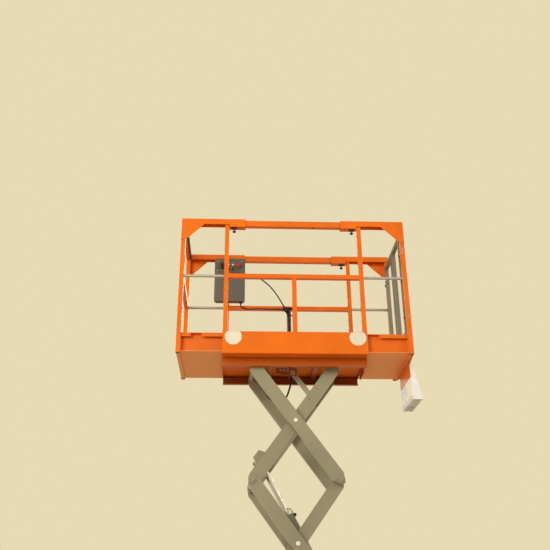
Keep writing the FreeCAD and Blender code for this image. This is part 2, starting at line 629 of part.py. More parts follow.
STEP_X = EXT_X - STEP_SET
plate = [(-POST_IN, POST_BOTTOM), (POST_IN, POST_BOTTOM), (POST_IN, -SHOULDER / 2), (STEP_HALF, -SHOULDER),
         (STEP_HALF, -PLATE_DROP), (-STEP_HALF, -PLATE_DROP), (-STEP_HALF, -SHOULDER),
         (-POST_IN, -SHOULDER / 2)]
save("end_plate", prism_x([(y, zf(z)) for y, z in plate], STEP_X - SHEET, STEP_X))


def entry_step():
    """Folded stirrup: two tapered sides, a tread and its rims, and a back strip."""
    t = TUBE_WALL
    top, low = -SHOULDER + 2 * SHEET, -STEP_DROP
    tread = low + STEP_RIM
    out = EXT_X + STEP_OUT
    side = [(STEP_X, zf(top)), (STEP_X + STEP_HEAD, zf(top)), (out, zf(tread)), (out, zf(low)),
            (STEP_X, zf(low))]
    inner = STEP_HALF - t
    parts = both(prism_y(side, inner, STEP_HALF))
    parts.append(box(STEP_X, out, -inner - LAP, inner + LAP, zf(tread - t), zf(tread)))
    parts.append(box(out - t, out, -inner - LAP, inner + LAP, zf(low), zf(tread)))
    parts.append(box(STEP_X, STEP_X + t, -inner - LAP, inner + LAP, zf(low), zf(tread)))
    parts.append(box(STEP_X, STEP_X + t, -inner - LAP, inner + LAP, zf(-PLATE_DROP), zf(top)))
    return join(parts)


save("entry_step", entry_step())


def control_box():
    """Flat box on the inside of the rear rails, hung from the post by two brackets, with two glands."""
    front, back = BOX_Y
    c = BEVEL
    (x0, x1), (z0, z1) = BOX_X, BOX_Z
    face = [(x0 + c, z0), (x1 - c, z0), (x1, z0 + c), (x1, z1 - c), (x1 - c, z1), (x0 + c, z1), (x0, z1 - c),
            (x0, z0 + c)]
    parts = [prism_y([(x, zf(z)) for x, z in face], front, back)]
    for z in (BOX_Z[0] + BRACKET_IN, BOX_Z[1] - BRACKET_IN):
        parts.append(box(-MID_END, -MID_END + POST, back - LAP, POST_IN, zf(z - POST / 2), zf(z + POST / 2)))
    parts.append(rod((LOW_GLAND, BOX_MID, zf(z0 - GLAND_LEN)), (LOW_GLAND, BOX_MID, zf(z0 + LAP)), GLAND_R))
    parts.append(rod((x1 - LAP, BOX_MID, zf(SIDE_GLAND)), (x1 + GLAND_LEN, BOX_MID, zf(SIDE_GLAND)), GLAND_R))
    return join(parts)


save("control_box", control_box())


def lead(name, radius, points):
    """Tube of straight runs joined by tangent arcs, each as large as its shorter run allows."""
    p = [V(x, y, zf(z)) for x, y, z in points]
    edges, start, least = [], p[0], ARM_LEN
    for a, b, c in zip(p, p[1:], p[2:]):
        u, v = (b - a).normalize(), (c - b).normalize()
        half = u.getAngle(v) / 2
        reach = ARC_SHARE * min(a.distanceToPoint(b), b.distanceToPoint(c))
        bend = reach / math.tan(half)
        inward = (v - u).normalize()
        middle = b + inward * (bend / math.cos(half) - bend)
        first, last = b - u * reach, b + v * reach
        edges += [Part.LineSegment(start, first), Part.Arc(first, middle, last)]
        start, least = last, min(least, bend)
    edges.append(Part.LineSegment(start, p[-1]))
    path = Part.Wire([e.toShape() for e in edges])
    along = (p[1] - p[0]).normalize()
    side = V(0, 1, 0)
    other = along.cross(side)
    corners = []
    for k in range(LEAD_SIDES + 1):
        turn = 2 * math.pi * (k + 0.5) / LEAD_SIDES
        corner = (side * math.cos(turn) + other * math.sin(turn)) * (radius / math.cos(math.pi / LEAD_SIDES))
        corners.append(p[0] + corner)
    tube = path.makePipeShell([Part.makePolygon(corners)], True, False)
    print(name, "length", round(path.Length), "smallest bend", round(least), "diameter", 2 * radius)
    save(name, tube)


# Columns: x, share of the way from the box's middle plane to the post's, height above the floor
cable_low = [(LOW_GLAND, 0.0, BOX_Z[0] - GLAND_LEN), (LOW_GLAND, 0.0, 598.0), (-390.0, 0.05, 576.0),
             (-340.0, 0.16, 569.0), (-250.0, 0.38, 577.0), (-155.0, 0.62, 569.0), (-80.0, 0.84, 580.0),
             (-28.0, 1.0, 574.0), (CABLE_X[0], 1.0, 534.0), (-4.0, 1.0, 450.0), (-6.0, 1.0, 310.0),
             (-4.0, 1.0, 170.0), (CABLE_X[0], 1.0, 60.0), (CABLE_X[0], 1.0, FLOOR_TOP + GLAND_LEN)]
cable_high = [(BOX_X[1] + GLAND_LEN, 0.0, SIDE_GLAND), (-322.0, 0.0, SIDE_GLAND), (-240.0, 0.24, 868.0),
              (-150.0, 0.4, 792.0), (-84.0, 0.5, 692.0), (-42.0, 0.6, 612.0), (-4.0, 0.68, 574.0),
              (CABLE_X[1], 0.9, 524.0), (8.0, 1.0, 440.0), (10.0, 1.0, 300.0), (8.0, 1.0, 160.0),
              (CABLE_X[1], 1.0, 60.0), (CABLE_X[1], 1.0, FLOOR_TOP + GLAND_LEN)]
for name, points in (("control_cable_1", cable_low), ("control_cable_2", cable_high)):
    lead(name, CABLE_R, [(x, BOX_MID + share * (LEAD_Y - BOX_MID), z) for x, share, z in points])

# Columns: x, depth below the gland. The hose hangs in a loop between two cross members.
hose = [(HOSE_X[0], 0.0), (HOSE_X[0], 72.0), (-27.0, 137.0), (-46.0, 191.0), (-90.0, 224.0), (-146.0, 224.0),
        (-191.0, 191.0), (-208.0, 137.0), (HOSE_X[1], 72.0), (HOSE_X[1], 0.0)]
lead("deck_hose", HOSE_R, [(x, HOSE_Y, HOSE_TOP - depth) for x, depth in hose])

# Base


def hull_side(side):
    """Lockers between the wheels and fenders over them, as one outline along the machine."""
    arch = LOCKER_X + BEVEL
    outline = [(-CHASSIS_X, HULL_TOP - BEVEL), (-CHASSIS_X + BEVEL, HULL_TOP), (CHASSIS_X - BEVEL, HULL_TOP),
               (CHASSIS_X, HULL_TOP - BEVEL), (CHASSIS_X, FENDER_Z), (arch, FENDER_Z),
               (LOCKER_X, FENDER_Z - BEVEL), (LOCKER_X, LOCKER_Z), (-LOCKER_X, LOCKER_Z),
               (-LOCKER_X, FENDER_Z - BEVEL), (-arch, FENDER_Z),
               (-CHASSIS_X, FENDER_Z)]
    return prism_y(outline, side * GUIDE_Y, side * HULL_Y)


def base_guide(side):
    """Roller channel on its web, and the shelf that joins it to the tub."""
    low, high = BASE_LINE - GUIDE_HALF, BASE_LINE + GUIDE_HALF
    tip = GUIDE_Y - GUIDE_FLANGE
    points = [(tip, high + SHEET), (GUIDE_Y, high + SHEET), (GUIDE_Y, SHELF_Z), (TUB_Y - PLATE, SHELF_Z),
              (TUB_Y - PLATE, SHELF_Z + PLATE), (WEB_Y, SHELF_Z + PLATE), (WEB_Y, low - SHEET),
              (tip, low - SHEET),
              (tip, low), (WEB_Y, low), (WEB_Y, high), (tip, high)]
    return prism_x([(side * y, z) for y, z in points], -CHASSIS_X, CHASSIS_X)


def chassis():
    floor_z, top_z = TUB_Z
    c = BEVEL
    wall = [(-TUB_Y, SHELF_Z + LAP), (-TUB_Y, floor_z + c), (-TUB_Y + c, floor_z), (TUB_Y - c, floor_z),
            (TUB_Y, floor_z + c), (TUB_Y, SHELF_Z + LAP), (TUB_Y - PLATE, SHELF_Z + LAP),
            (TUB_Y - PLATE, floor_z + c),
            (TUB_Y - c, floor_z + PLATE), (-TUB_Y + c, floor_z + PLATE), (-TUB_Y + PLATE, floor_z + c),
            (-TUB_Y + PLATE, SHELF_Z + LAP)]
    end = [(-TUB_Y, top_z - c), (-TUB_Y, floor_z + c), (-TUB_Y + c, floor_z), (TUB_Y - c, floor_z),
           (TUB_Y, floor_z + c), (TUB_Y, top_z - c), (TUB_Y - c, top_z), (-TUB_Y + c, top_z)]
    parts = [prism_x(wall, -CHASSIS_X, CHASSIS_X)]
    for side in (-1, 1):
        parts += [hull_side(side), base_guide(side)]
        parts.append(box(-LOCKER_X, LOCKER_X, side * (TUB_Y - LAP), side * (GUIDE_Y + LAP), LOCKER_Z,
                         SHELF_Z + LAP))
        lug_z = WHEEL_R + KNUCKLE_H / 2 + KING_PLAY
        parts.append(box(-AXLE_X - KNUCKLE / 2, -AXLE_X + KNUCKLE / 2, side * (TUB_Y - LAP),
                         side * (KING_Y + KNUCKLE / 2), lug_z, lug_z + LUG_H))
        x = side * (CHASSIS_X - PLATE)
        parts.append(prism_x(end, x, side * CHASSIS_X))
        for y in (-EYE_Y, EYE_Y):
            parts.append(box(side * (CHASSIS_X - LAP), side * (CHASSIS_X + EYE_LUG), y - PLATE, y + PLATE,
                             EYE_Z - EYE_LUG / 2, EYE_Z + EYE_LUG / 2))
    cheek = link_cheek(BASE_LINE, floor_z + PLATE - LAP, 3 * LINK_HALF)
    shape = join(parts + both(cheek) + [link_pin(BASE_LINE)])
    for side in (-1, 1):
        king = rod((-AXLE_X, side * KING_Y, WHEEL_R), (-AXLE_X, side * KING_Y, SHELF_Z - LAP), KING_R + RUN)
        shape = shape.cut(king)
        eye = (side * (CHASSIS_X + EYE_LUG / 2), EYE_Z)
        shape = shape.cut(pin(eye, -TUB_Y, TUB_Y, EYE_BORE))
    return shape


def cover(side):
    """Louvred cover bolted on a locker."""
    c = BEVEL
    z0, z1 = COVER_Z
    face = [(-COVER_X + c, z0), (COVER_X - c, z0), (COVER_X, z0 + c), (COVER_X, z1 - c), (COVER_X - c, z1),
            (-COVER_X + c, z1), (-COVER_X, z1 - c), (-COVER_X, z0 + c)]
    shape = prism_y(face, side * HULL_Y, side * (HULL_Y + COVER_T))
    through = (side * (HULL_Y - LAP), side * (HULL_Y + COVER_T + LAP))
    pitch = (z1 - z0) / (2.0 * LOUVRES + 2.0)
    for k in range(LOUVRES):
        z = (z0 + z1) / 2 + (k - (LOUVRES - 1) / 2.0) * pitch
        slot = box(-COVER_X / 2, COVER_X / 2, through[0], through[1], z - pitch / 4, z + pitch / 4)
        shape = shape.cut(slot)
    return shape


save("chassis_frame", chassis())
save("cover_front", cover(-1))
save("cover_rear", cover(1))

# Wheels and steering


def tyre(x, side):
    """Solid tyre, turned about its axle."""
    half = WHEEL_W / 2
    section = [(RIM_R, -half), (WHEEL_R, -half), (WHEEL_R, half), (RIM_R, half)]
    points = [V(x + r, side * WHEEL_Y + y, WHEEL_R) for r, y in section + section[:1]]
    return Part.Face(Part.makePolygon(points)).revolve(V(x, 0, WHEEL_R), V(0, 1, 0), 360)


def rim(x, side):
    """Disc inside the tyre, bored from inside for its shaft."""
    inner = side * (WHEEL_Y - WHEEL_W / 2 + RIM_BACK)
    outer = side * (WHEEL_Y + WHEEL_W / 2 - RIM_FRONT)
    disc = pin((x, WHEEL_R), inner, outer, RIM_R)
    return disc.cut(pin((x, WHEEL_R), inner - side, inner + side * HUB_IN, STUB_R + RUN))


SHAFT_END = WHEEL_Y - WHEEL_W / 2 + HUB_IN


def shaft(x, side, y0):
    return pin((x, WHEEL_R), side * y0, side * SHAFT_END, STUB_R)


def knuckle(side):
    """Block with its kingpin, wheel shaft, steering arm and the pin of the tie rod."""
    x, y, h = -AXLE_X, side * KING_Y, KNUCKLE / 2
    low, high = WHEEL_R - KNUCKLE_H / 2, WHEEL_R + KNUCKLE_H / 2
    block = box(x - h, x + h, y - h, y + h, low, high)
    king = rod((x, y, high), (x, y, high + KING_PLAY + LUG_H + PIN_OVER), KING_R)
    arm = box(x - h, x + STEER_ARM + 2 * JOINT_R, y - 2 * JOINT_R, y + 2 * JOINT_R, low - STEER_T, low)
    ball_low = low - 2 * STEER_T - 2 * STEER_PLAY
    ball = rod((x + STEER_ARM, y, ball_low), (x + STEER_ARM, y, low - STEER_T), JOINT_R)
    return join([block, king, arm, ball, shaft(x, side, KING_Y)])


def rear_stub(side):
    """Hub motor on the wall of the tub, with the wheel's shaft."""
    body = pin((AXLE_X, WHEEL_R), side * TUB_Y, side * (TUB_Y + MOTOR_L), MOTOR_R)
    return join([body, shaft(AXLE_X, side, TUB_Y + MOTOR_L - LAP)])


for name, x, side in (("fl", -AXLE_X, -1), ("fr", -AXLE_X, 1), ("rl", AXLE_X, -1), ("rr", AXLE_X, 1)):
    save("tyre_" + name, tyre(x, side))
    save("rim_" + name, rim(x, side))
for name, side in (("left", -1), ("right", 1)):
    save("knuckle_" + name, knuckle(side))
    save("rear_stub_" + name, rear_stub(side))


def tie_rod():
    x = -AXLE_X + STEER_ARM
    top = WHEEL_R - KNUCKLE_H / 2 - STEER_T - STEER_PLAY
    half, reach = 2 * JOINT_R, KING_Y + 2 * JOINT_R
    shape = box(x - half, x + half, -reach, reach, top - STEER_T, top)
    for y in (-KING_Y, KING_Y):
        shape = shape.cut(rod((x, y, top - 2 * STEER_T), (x, y, top + LAP), JOINT_R + RUN))
    return shape


save("tie_rod", tie_rod())
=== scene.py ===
"""Finishes and small hardware of a compact scissor lift, laid out as a Blender add-on.

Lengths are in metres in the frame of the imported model. Points given as at(x, y, z) are in millimetres
from the middle of the platform's floor, as on the drawing of the machine.
"""

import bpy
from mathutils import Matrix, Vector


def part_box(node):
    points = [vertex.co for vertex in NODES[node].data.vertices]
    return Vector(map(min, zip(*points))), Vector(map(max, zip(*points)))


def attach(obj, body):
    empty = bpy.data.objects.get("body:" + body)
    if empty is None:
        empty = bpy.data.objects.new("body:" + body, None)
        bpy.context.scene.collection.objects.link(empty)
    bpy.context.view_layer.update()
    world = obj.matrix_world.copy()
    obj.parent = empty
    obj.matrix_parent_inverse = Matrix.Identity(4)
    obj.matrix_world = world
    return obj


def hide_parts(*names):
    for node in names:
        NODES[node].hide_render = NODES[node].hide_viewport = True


bl_info = {
    "name": "Scissor Lift Finishes",
    "version": (1, 0, 0),
    "blender": (4, 5, 0),
    "location": "3D View > Sidebar > Scissor Lift",
    "description": "Paint, wheels, gates and fittings for a compact scissor lift",
    "category": "Object",
}

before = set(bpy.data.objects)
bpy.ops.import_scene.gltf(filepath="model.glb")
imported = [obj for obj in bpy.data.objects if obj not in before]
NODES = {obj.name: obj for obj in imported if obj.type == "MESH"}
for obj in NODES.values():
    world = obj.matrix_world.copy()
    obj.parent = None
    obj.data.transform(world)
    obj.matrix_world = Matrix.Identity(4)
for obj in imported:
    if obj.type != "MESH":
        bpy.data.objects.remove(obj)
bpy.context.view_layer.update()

import math

import bmesh
import bpy
import numpy as np
from bpy.props import FloatProperty, FloatVectorProperty, IntProperty, PointerProperty
from mathutils import Matrix, Vector

# The drawing's main lines, in metres
FLOOR_LOW, FLOOR_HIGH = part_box("deck_floor")
MIDDLE_X = (FLOOR_LOW[0] + FLOOR_HIGH[0]) / 2.0
FLOOR_Z = FLOOR_LOW[2] + 0.017
ARM = 1.054
ARM_SLOPE = math.radians(53.6)
BASE_LINE = 0.330
SPAN = ARM * math.cos(ARM_SLOPE)
RISE = ARM * math.sin(ARM_SLOPE)
ARM_FACE = 0.210
AXLE_X = 0.440
WHEEL_R = 0.120
WHEEL_Y = 0.290
WHEELS = (("fl", -AXLE_X, -1), ("fr", -AXLE_X, 1), ("rl", AXLE_X, -1), ("rr", AXLE_X, 1))
HINGE = (862.0, 274.0)
DISCS = (-463.0, 470.0)
DISC_Z = 107.0


def at(x, y, z):
    """Point given in millimetres from the middle of the platform's floor."""
    return np.array([MIDDLE_X + x / 1000.0, y / 1000.0, FLOOR_Z + z / 1000.0])


def base_at(x, y, z):
    """Point in metres from the ground under the middle of the platform."""
    return np.array([MIDDLE_X + x, y, z])


# Surfaces


def grid_faces(rows, cols, wrap_rows=False, wrap_cols=False):
    """Quads between neighbours of a grid of points, closed round either way where asked."""
    i, j = np.meshgrid(np.arange(rows if wrap_rows else rows - 1), np.arange(cols if wrap_cols else cols - 1),
                       indexing="ij")
    a, b = (i + 1) % rows, (j + 1) % cols
    return np.stack([i * cols + j, a * cols + j, a * cols + b, i * cols + b], -1).reshape(-1, 4).tolist()


def side_axes(axis):
    """Unit vector along the axis and two more square to it."""
    a = np.asarray(axis, float)
    a = a / np.linalg.norm(a)
    helper = np.array([0.0, 0.0, 1.0]) if abs(a[2]) < 0.9 else np.array([1.0, 0.0, 0.0])
    u = np.cross(helper, a)
    u = u / np.linalg.norm(u)
    return a, u, np.cross(a, u)


def turned(profile, centre, axis, steps=32, phase=0.0):
    """Turned part: centre + along * axis + radius * (cos t * u + sin t * v), for each (along, radius) and t."""
    a, u, v = side_axes(axis)
    t = phase + np.arange(steps) * (2.0 * math.pi / steps)
    along, radius = np.array(profile, float).T
    ring = np.cos(t)[:, None] * u + np.sin(t)[:, None] * v
    points = np.asarray(centre) + along[None, :, None] * a + radius[None, :, None] * ring[:, None, :]
    return points.reshape(-1, 3), grid_faces(steps, len(profile), wrap_rows=True)


def carried(section, path, up, closed=False):
    """Section of (side, up) pairs carried along a path: path + side * s + up * n, with s square to path and up."""
    path, section = np.asarray(path, float), np.asarray(section, float)
    if closed:
        run = np.roll(path, -1, 0) - np.roll(path, 1, 0)
    else:
        run = np.gradient(path, axis=0)
    run = run / np.linalg.norm(run, axis=1)[:, None]
    side = np.cross(run, np.asarray(up, float))
    side = side / np.linalg.norm(side, axis=1)[:, None]
    normal = np.cross(side, run)
    points = path[:, None, :] + section[None, :, 0, None] * side[:, None, :] + \
        section[None, :, 1, None] * normal[:, None, :]
    n, m = points.shape[:2]
    faces = grid_faces(n, m, wrap_rows=closed, wrap_cols=True)
    if not closed:
        faces += [list(range(m)), list(range((n - 1) * m, n * m))]
    return points.reshape(-1, 3), faces


def drawn(outline, origin, x_axis, y_axis, depth):
    """Flat outline of (a, b) pairs drawn out along the normal: origin + a * x + b * y + (0 or depth) * x cross y."""
    outline = np.asarray(outline, float)
    x_axis, y_axis = np.asarray(x_axis, float), np.asarray(y_axis, float)
    normal = np.cross(x_axis, y_axis)
    flat = np.asarray(origin) + outline[:, :1] * x_axis + outline[:, 1:] * y_axis
    n = len(outline)
    points = np.concatenate([flat, flat + depth * normal])
    ring = [[k, (k + 1) % n, n + (k + 1) % n, n + k] for k in range(n)]
    return points, ring + [list(range(n))[::-1], list(range(n, 2 * n))]


def block(low, high, cut=0.0):
    """Bevelled block between two corners, as an octagon in plan drawn out upwards."""
    (x0, y0, z0), (x1, y1, z1) = low, high
    c = min(cut, (x1 - x0) / 3.0, (y1 - y0) / 3.0)
    outline = [(x0 + c, y0), (x1 - c, y0), (x1, y0 + c), (x1, y1 - c), (x1 - c, y1), (x0 + c, y1), (x0, y1 - c),
               (x0, y0 + c)] if c else [(x0, y0), (x1, y0), (x1, y1), (x0, y1)]
    return drawn(outline, (0.0, 0.0, z0), (1, 0, 0), (0, 1, 0), z1 - z0)


def bolt(centre, axis, width=0.013, height=0.0055, washer=True):
    """Hexagon head with a chamfered top on its washer, whose underside is at the centre."""
    shapes = []
    base = 0.0
    if washer:
        r = width * 0.72
        shapes.append(turned([(-0.0005, 0), (-0.0005, r), (0.0012, r), (0.0016, r - 0.0005), (0.0016, 0)],
                             centre, axis, 20))
        base = 0.0014
    r = width / math.sqrt(3.0)
    shapes.append(turned([(base, 0), (base, r), (base + height * 0.8, r), (base + height, r * 0.82),
                          (base + height, 0)], centre, axis, 6))
    return shapes


def bead(start, end, r=0.0028):
    """Weld bead: a string of ripples, radius r * (0.82 + 0.18 * cos) along its run, thinner at both ends."""
    start, end = np.asarray(start), np.asarray(end)
    length = np.linalg.norm(end - start)
    n = max(6, int(length / 0.0022))
    s = np.linspace(0.0, 1.0, n)
    taper = np.minimum(1.0, 8 * np.minimum(s, 1 - s) + 0.3)
    fat = r * (0.82 + 0.18 * np.cos(s * length / 0.0044 * 2.0 * math.pi)) * taper
    axis, u, v = side_axes(end - start)
    t = np.arange(8) * (2.0 * math.pi / 8)
    ring = np.cos(t)[:, None] * u + np.sin(t)[:, None] * v
    path = start + s[:, None] * (end - start)
    points = path[:, None, :] + fat[:, None, None] * ring[None]
    faces = grid_faces(n, 8, wrap_cols=True) + [list(range(8)), list(range((n - 1) * 8, n * 8))]
    return points.reshape(-1, 3), faces


def publish(name, shapes, body, material, bevel=0.0, angle=35.0):
    """Join the shapes into one closed piece at the origin, with its faces outwards, that rides on a body."""
    points, faces, count = [], [], 0
    for part, quads in shapes:
        points.append(np.asarray(part, float))
        faces += [[count + k for k in quad] for quad in quads]
        count += len(part)
    mesh = bpy.data.meshes.new(name)
    mesh.from_pydata(np.concatenate(points).tolist(), [], faces)
    work = bmesh.new()
    work.from_mesh(mesh)
    bmesh.ops.remove_doubles(work, verts=work.verts, dist=2e-6)
    bmesh.ops.dissolve_degenerate(work, edges=work.edges, dist=2e-6)
    bmesh.ops.recalc_face_normals(work, faces=work.faces)
    for face in work.faces:
        face.smooth = True
    for edge in work.edges:
        edge.smooth = edge.calc_face_angle(math.pi) < math.radians(angle)
    work.to_mesh(mesh)
    work.free()
    piece = bpy.data.objects.new(name, mesh)
    bpy.context.scene.collection.objects.link(piece)
    mesh.materials.append(material)
    if bevel:
        soften = piece.modifiers.new("Edges", "BEVEL")
        soften.width = bevel
        soften.segments = 2
        soften.limit_method = "ANGLE"
        soften.angle_limit = math.radians(angle)
    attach(piece, body)
    return piece


# Shaders


class Sock:
    """Output of a shader node that takes Python arithmetic, each step of which adds a Math node."""

    def __init__(self, shader, link):
        self.shader = shader
        self.link = link

    def __add__(self, other):
        return self.shader.maths("ADD", self, other)

    __radd__ = __add__

    def __sub__(self, other):
        return self.shader.maths("SUBTRACT", self, other)

    def __rsub__(self, other):
        return self.shader.maths("SUBTRACT", other, self)

    def __mul__(self, other):
        return self.shader.maths("MULTIPLY", self, other)

    __rmul__ = __mul__

    def __truediv__(self, other):
        return self.shader.maths("DIVIDE", self, other)

    def __pow__(self, other):
        return self.shader.maths("POWER", self, other)

    def above(self, other):
        return self.shader.maths("GREATER_THAN", self, other)

    def below(self, other):
        return self.shader.maths("LESS_THAN", self, other)

    def size(self):
        return self.shader.maths("ABSOLUTE", self)


class Shader:
    """Node tree of a material or a world, all of whose nodes come from the method named node."""

    def __init__(self, name, owner=None):
        self.material = owner or bpy.data.materials.new(name)
        self.material.use_nodes = True
        self.tree = self.material.node_tree
        self.tree.nodes.clear()

    def node(self, kind, settings=None, inputs=None, stops=None):
        """Add a node, set it up, feed its sockets by name or number and return it."""
        made = self.tree.nodes.new(kind)
        for key, value in (settings or {}).items():
            setattr(made, key, value)
        if stops:
            ramp = made.color_ramp
            while len(ramp.elements) < len(stops):
                ramp.elements.new(0.5)
            for element, (place, value) in zip(ramp.elements, stops):
                element.position = place
                element.color = (*value, 1.0) if isinstance(value, tuple) else (value, value, value, 1.0)
        for key, value in (inputs or {}).items():
            socket = made.inputs[key]
            if isinstance(value, Sock):
                self.tree.links.new(value.link, socket)
            elif socket.type == "RGBA" and len(value) == 3:
                socket.default_value = (*value, 1.0)
            else:
                socket.default_value = value
        return made

    def out(self, made, key=0):
        return Sock(self, made.outputs[key])

    def maths(self, operation, a, b=None):
        inputs = {0: a}
        if b is not None:
            inputs[1] = b
        return self.out(self.node("ShaderNodeMath", {"operation": operation}, inputs))

    def place(self):
        """Object coordinates."""
        return self.out(self.node("ShaderNodeTexCoord"), "Object")

    def stretched(self, place, scale):
        return self.out(self.node("ShaderNodeMapping", None, {"Vector": place, "Scale": scale}))

    def axes(self, place):
        made = self.node("ShaderNodeSeparateXYZ", None, {0: place})
        return [self.out(made, k) for k in range(3)]

    def noise(self, place, scale, detail=3.0, rough=0.55):
        return self.out(self.node("ShaderNodeTexNoise", None,
                                  {"Vector": place, "Scale": scale, "Detail": detail, "Roughness": rough}), "Fac")

    def ramp(self, value, low, high):
        """Value spread from 0 at low to 1 at high, with smooth ends."""
        made = self.node("ShaderNodeMapRange", {"interpolation_type": "SMOOTHSTEP", "clamp": True},
                         {"Value": value, "From Min": low, "From Max": high})
        return self.out(made)

    def mix(self, factor, a, b):
        made = self.node("ShaderNodeMix", {"data_type": "RGBA", "clamp_factor": True}, {0: factor, 6: a, 7: b})
        return self.out(made, 2)

    def seen(self):
        """1 on rays from the camera and those that gloss and glass show, 0 on light that falls on things."""
        ray = self.node("ShaderNodeLightPath")
        mirrored = self.maths("MAXIMUM", self.out(ray, "Is Glossy Ray"), self.out(ray, "Is Transmission Ray"))
        return self.maths("MAXIMUM", self.out(ray, "Is Camera Ray"), mirrored)

    def bump(self, height, distance, strength=1.0):
        made = self.node("ShaderNodeBump", None, {"Height": height, "Distance": distance, "Strength": strength})
        return self.out(made)

    def finish(self, **inputs):
        """Principled surface with the given sockets, whose names are written with _ for a space."""
        named = {key.replace("_", " "): value for key, value in inputs.items()}
        surface = self.node("ShaderNodeBsdfPrincipled", None, named)
        self.node("ShaderNodeOutputMaterial", None, {0: self.out(surface)})
        return self.material


def tint(colour, by):
    return tuple(min(1.0, c * by) for c in colour)


def paint(name, colour, wear, rough=0.17, metal=(0.30, 0.29, 0.27), under=None):
    """Powder coat: slow shade drift, faint streaks that run down, fine peel, and small scuffs to grey primer.

    Another colour takes over below a height and between two planes across, as painted light and shade on
    the underside: under is that height, the planes' y, and the colour at the front one and at the rear one.
    """
    s = Shader(name)
    place = s.place()
    drift = s.noise(place, 3.1, 3.0)
    streaks = s.noise(s.stretched(place, (34.0, 34.0, 2.2)), 1.0, 4.0, 0.6)
    speck = s.noise(place, 46.0, 5.0, 0.62)
    scratch = s.noise(s.stretched(place, (9.0, 60.0, 120.0)), 1.0, 3.0, 0.5)
    base = s.mix(s.ramp(drift, 0.3, 0.72), tint(colour, 0.88), tint(colour, 1.05))
    dusty = s.mix(s.ramp(streaks, 0.54, 0.80) * 0.16, base, tint(colour, 0.70))
    worn = s.ramp(speck * 0.6 + scratch * 0.4, 0.675 - 0.06 * wear, 0.705 - 0.06 * wear)
    shade = s.mix(worn * 0.75, dusty, metal)
    if under:
        level, (y0, y1), front, rear = under
        _, y, z = s.axes(place)
        # Painted light and shade on the underside, running from the front colour to the rear one.
        inside = s.ramp(y, y0 - 0.002, y0) * s.ramp(z, level + 0.001, level - 0.001) * s.ramp(y, y1 + 0.002, y1)
        underside_light_and_shade = s.mix(s.ramp(y, 0.05, 0.22), front, rear)
        shade = s.mix(inside * (0.86 + speck * 0.2), shade, underside_light_and_shade)
    roughness = rough + speck * 0.12 + worn * 0.2
    peel = s.noise(place, 420.0, 2.0)
    normal = s.bump(peel * 0.5 + drift * 2.0 - worn * 0.8, 0.0004, 0.35)
    return s.finish(Base_Color=shade, Roughness=roughness, Normal=normal, IOR=1.36)


def galvanised(name, colour, rough=0.42, metallic=0.75):
    """Zinc coat: flat spangles a centimetre wide, each with its own grey, under dull cloudy patches."""
    s = Shader(name)
    place = s.place()
    cells = s.node("ShaderNodeTexVoronoi", {"feature": "F1"}, {"Vector": place, "Scale": 95.0, "Randomness": 1.0})
    grey = s.axes(s.out(cells, "Color"))[0]
    cloud = s.noise(place, 9.0, 4.0)
    shade = s.mix(s.ramp(cloud, 0.35, 0.7), s.mix(grey, tint(colour, 0.82), tint(colour, 1.08)), tint(colour, 0.9))
    fine = s.noise(s.stretched(place, (260.0, 260.0, 30.0)), 1.0, 2.0)
    return s.finish(Base_Color=shade, Roughness=rough + grey * 0.12 + cloud * 0.16,
                    Normal=s.bump(fine + grey * 0.6, 0.0003, 0.3), Metallic=metallic)


def bright(name, colour, rough=0.24):
    """Turned or drawn steel: fine rings of drawing lines, slightly stained."""
    s = Shader(name)
    place = s.place()
    lines = s.noise(s.stretched(place, (40.0, 40.0, 700.0)), 1.0, 2.0)
    stain = s.noise(place, 18.0, 4.0)
    shade = s.mix(s.ramp(stain, 0.5, 0.8) * 0.45, colour, tint(colour, 0.62))
    return s.finish(Base_Color=shade, Roughness=rough + lines * 0.12 + stain * 0.08,
                    Normal=s.bump(lines, 0.0002, 0.25), Metallic=1.0)


def rubber(name, colour, rough=0.72):
    """Solid rubber: matt, with a dusty bloom and fine moulding grain."""
    s = Shader(name)
    place = s.place()
    bloom = s.noise(place, 12.0, 5.0, 0.6)
    grain = s.noise(place, 520.0, 2.0)
    shade = s.mix(s.ramp(bloom, 0.42, 0.75), colour, tuple(c * 0.7 + 0.045 for c in colour))
    return s.finish(Base_Color=shade, Roughness=rough + bloom * 0.18, Normal=s.bump(grain + bloom, 0.0004, 0.4))


def plastic(name, colour, rough=0.45):
    """Moulded plastic with a fine spark texture."""
    s = Shader(name)
    place = s.place()
    grain = s.noise(place, 900.0, 2.0)
    cloud = s.noise(place, 7.0, 3.0)
    shade = s.mix(s.ramp(cloud, 0.3, 0.75), tint(colour, 0.9), tint(colour, 1.12))
    return s.finish(Base_Color=shade, Roughness=rough + cloud * 0.12, Normal=s.bump(grain, 0.0003, 0.35))


SHADES = {}


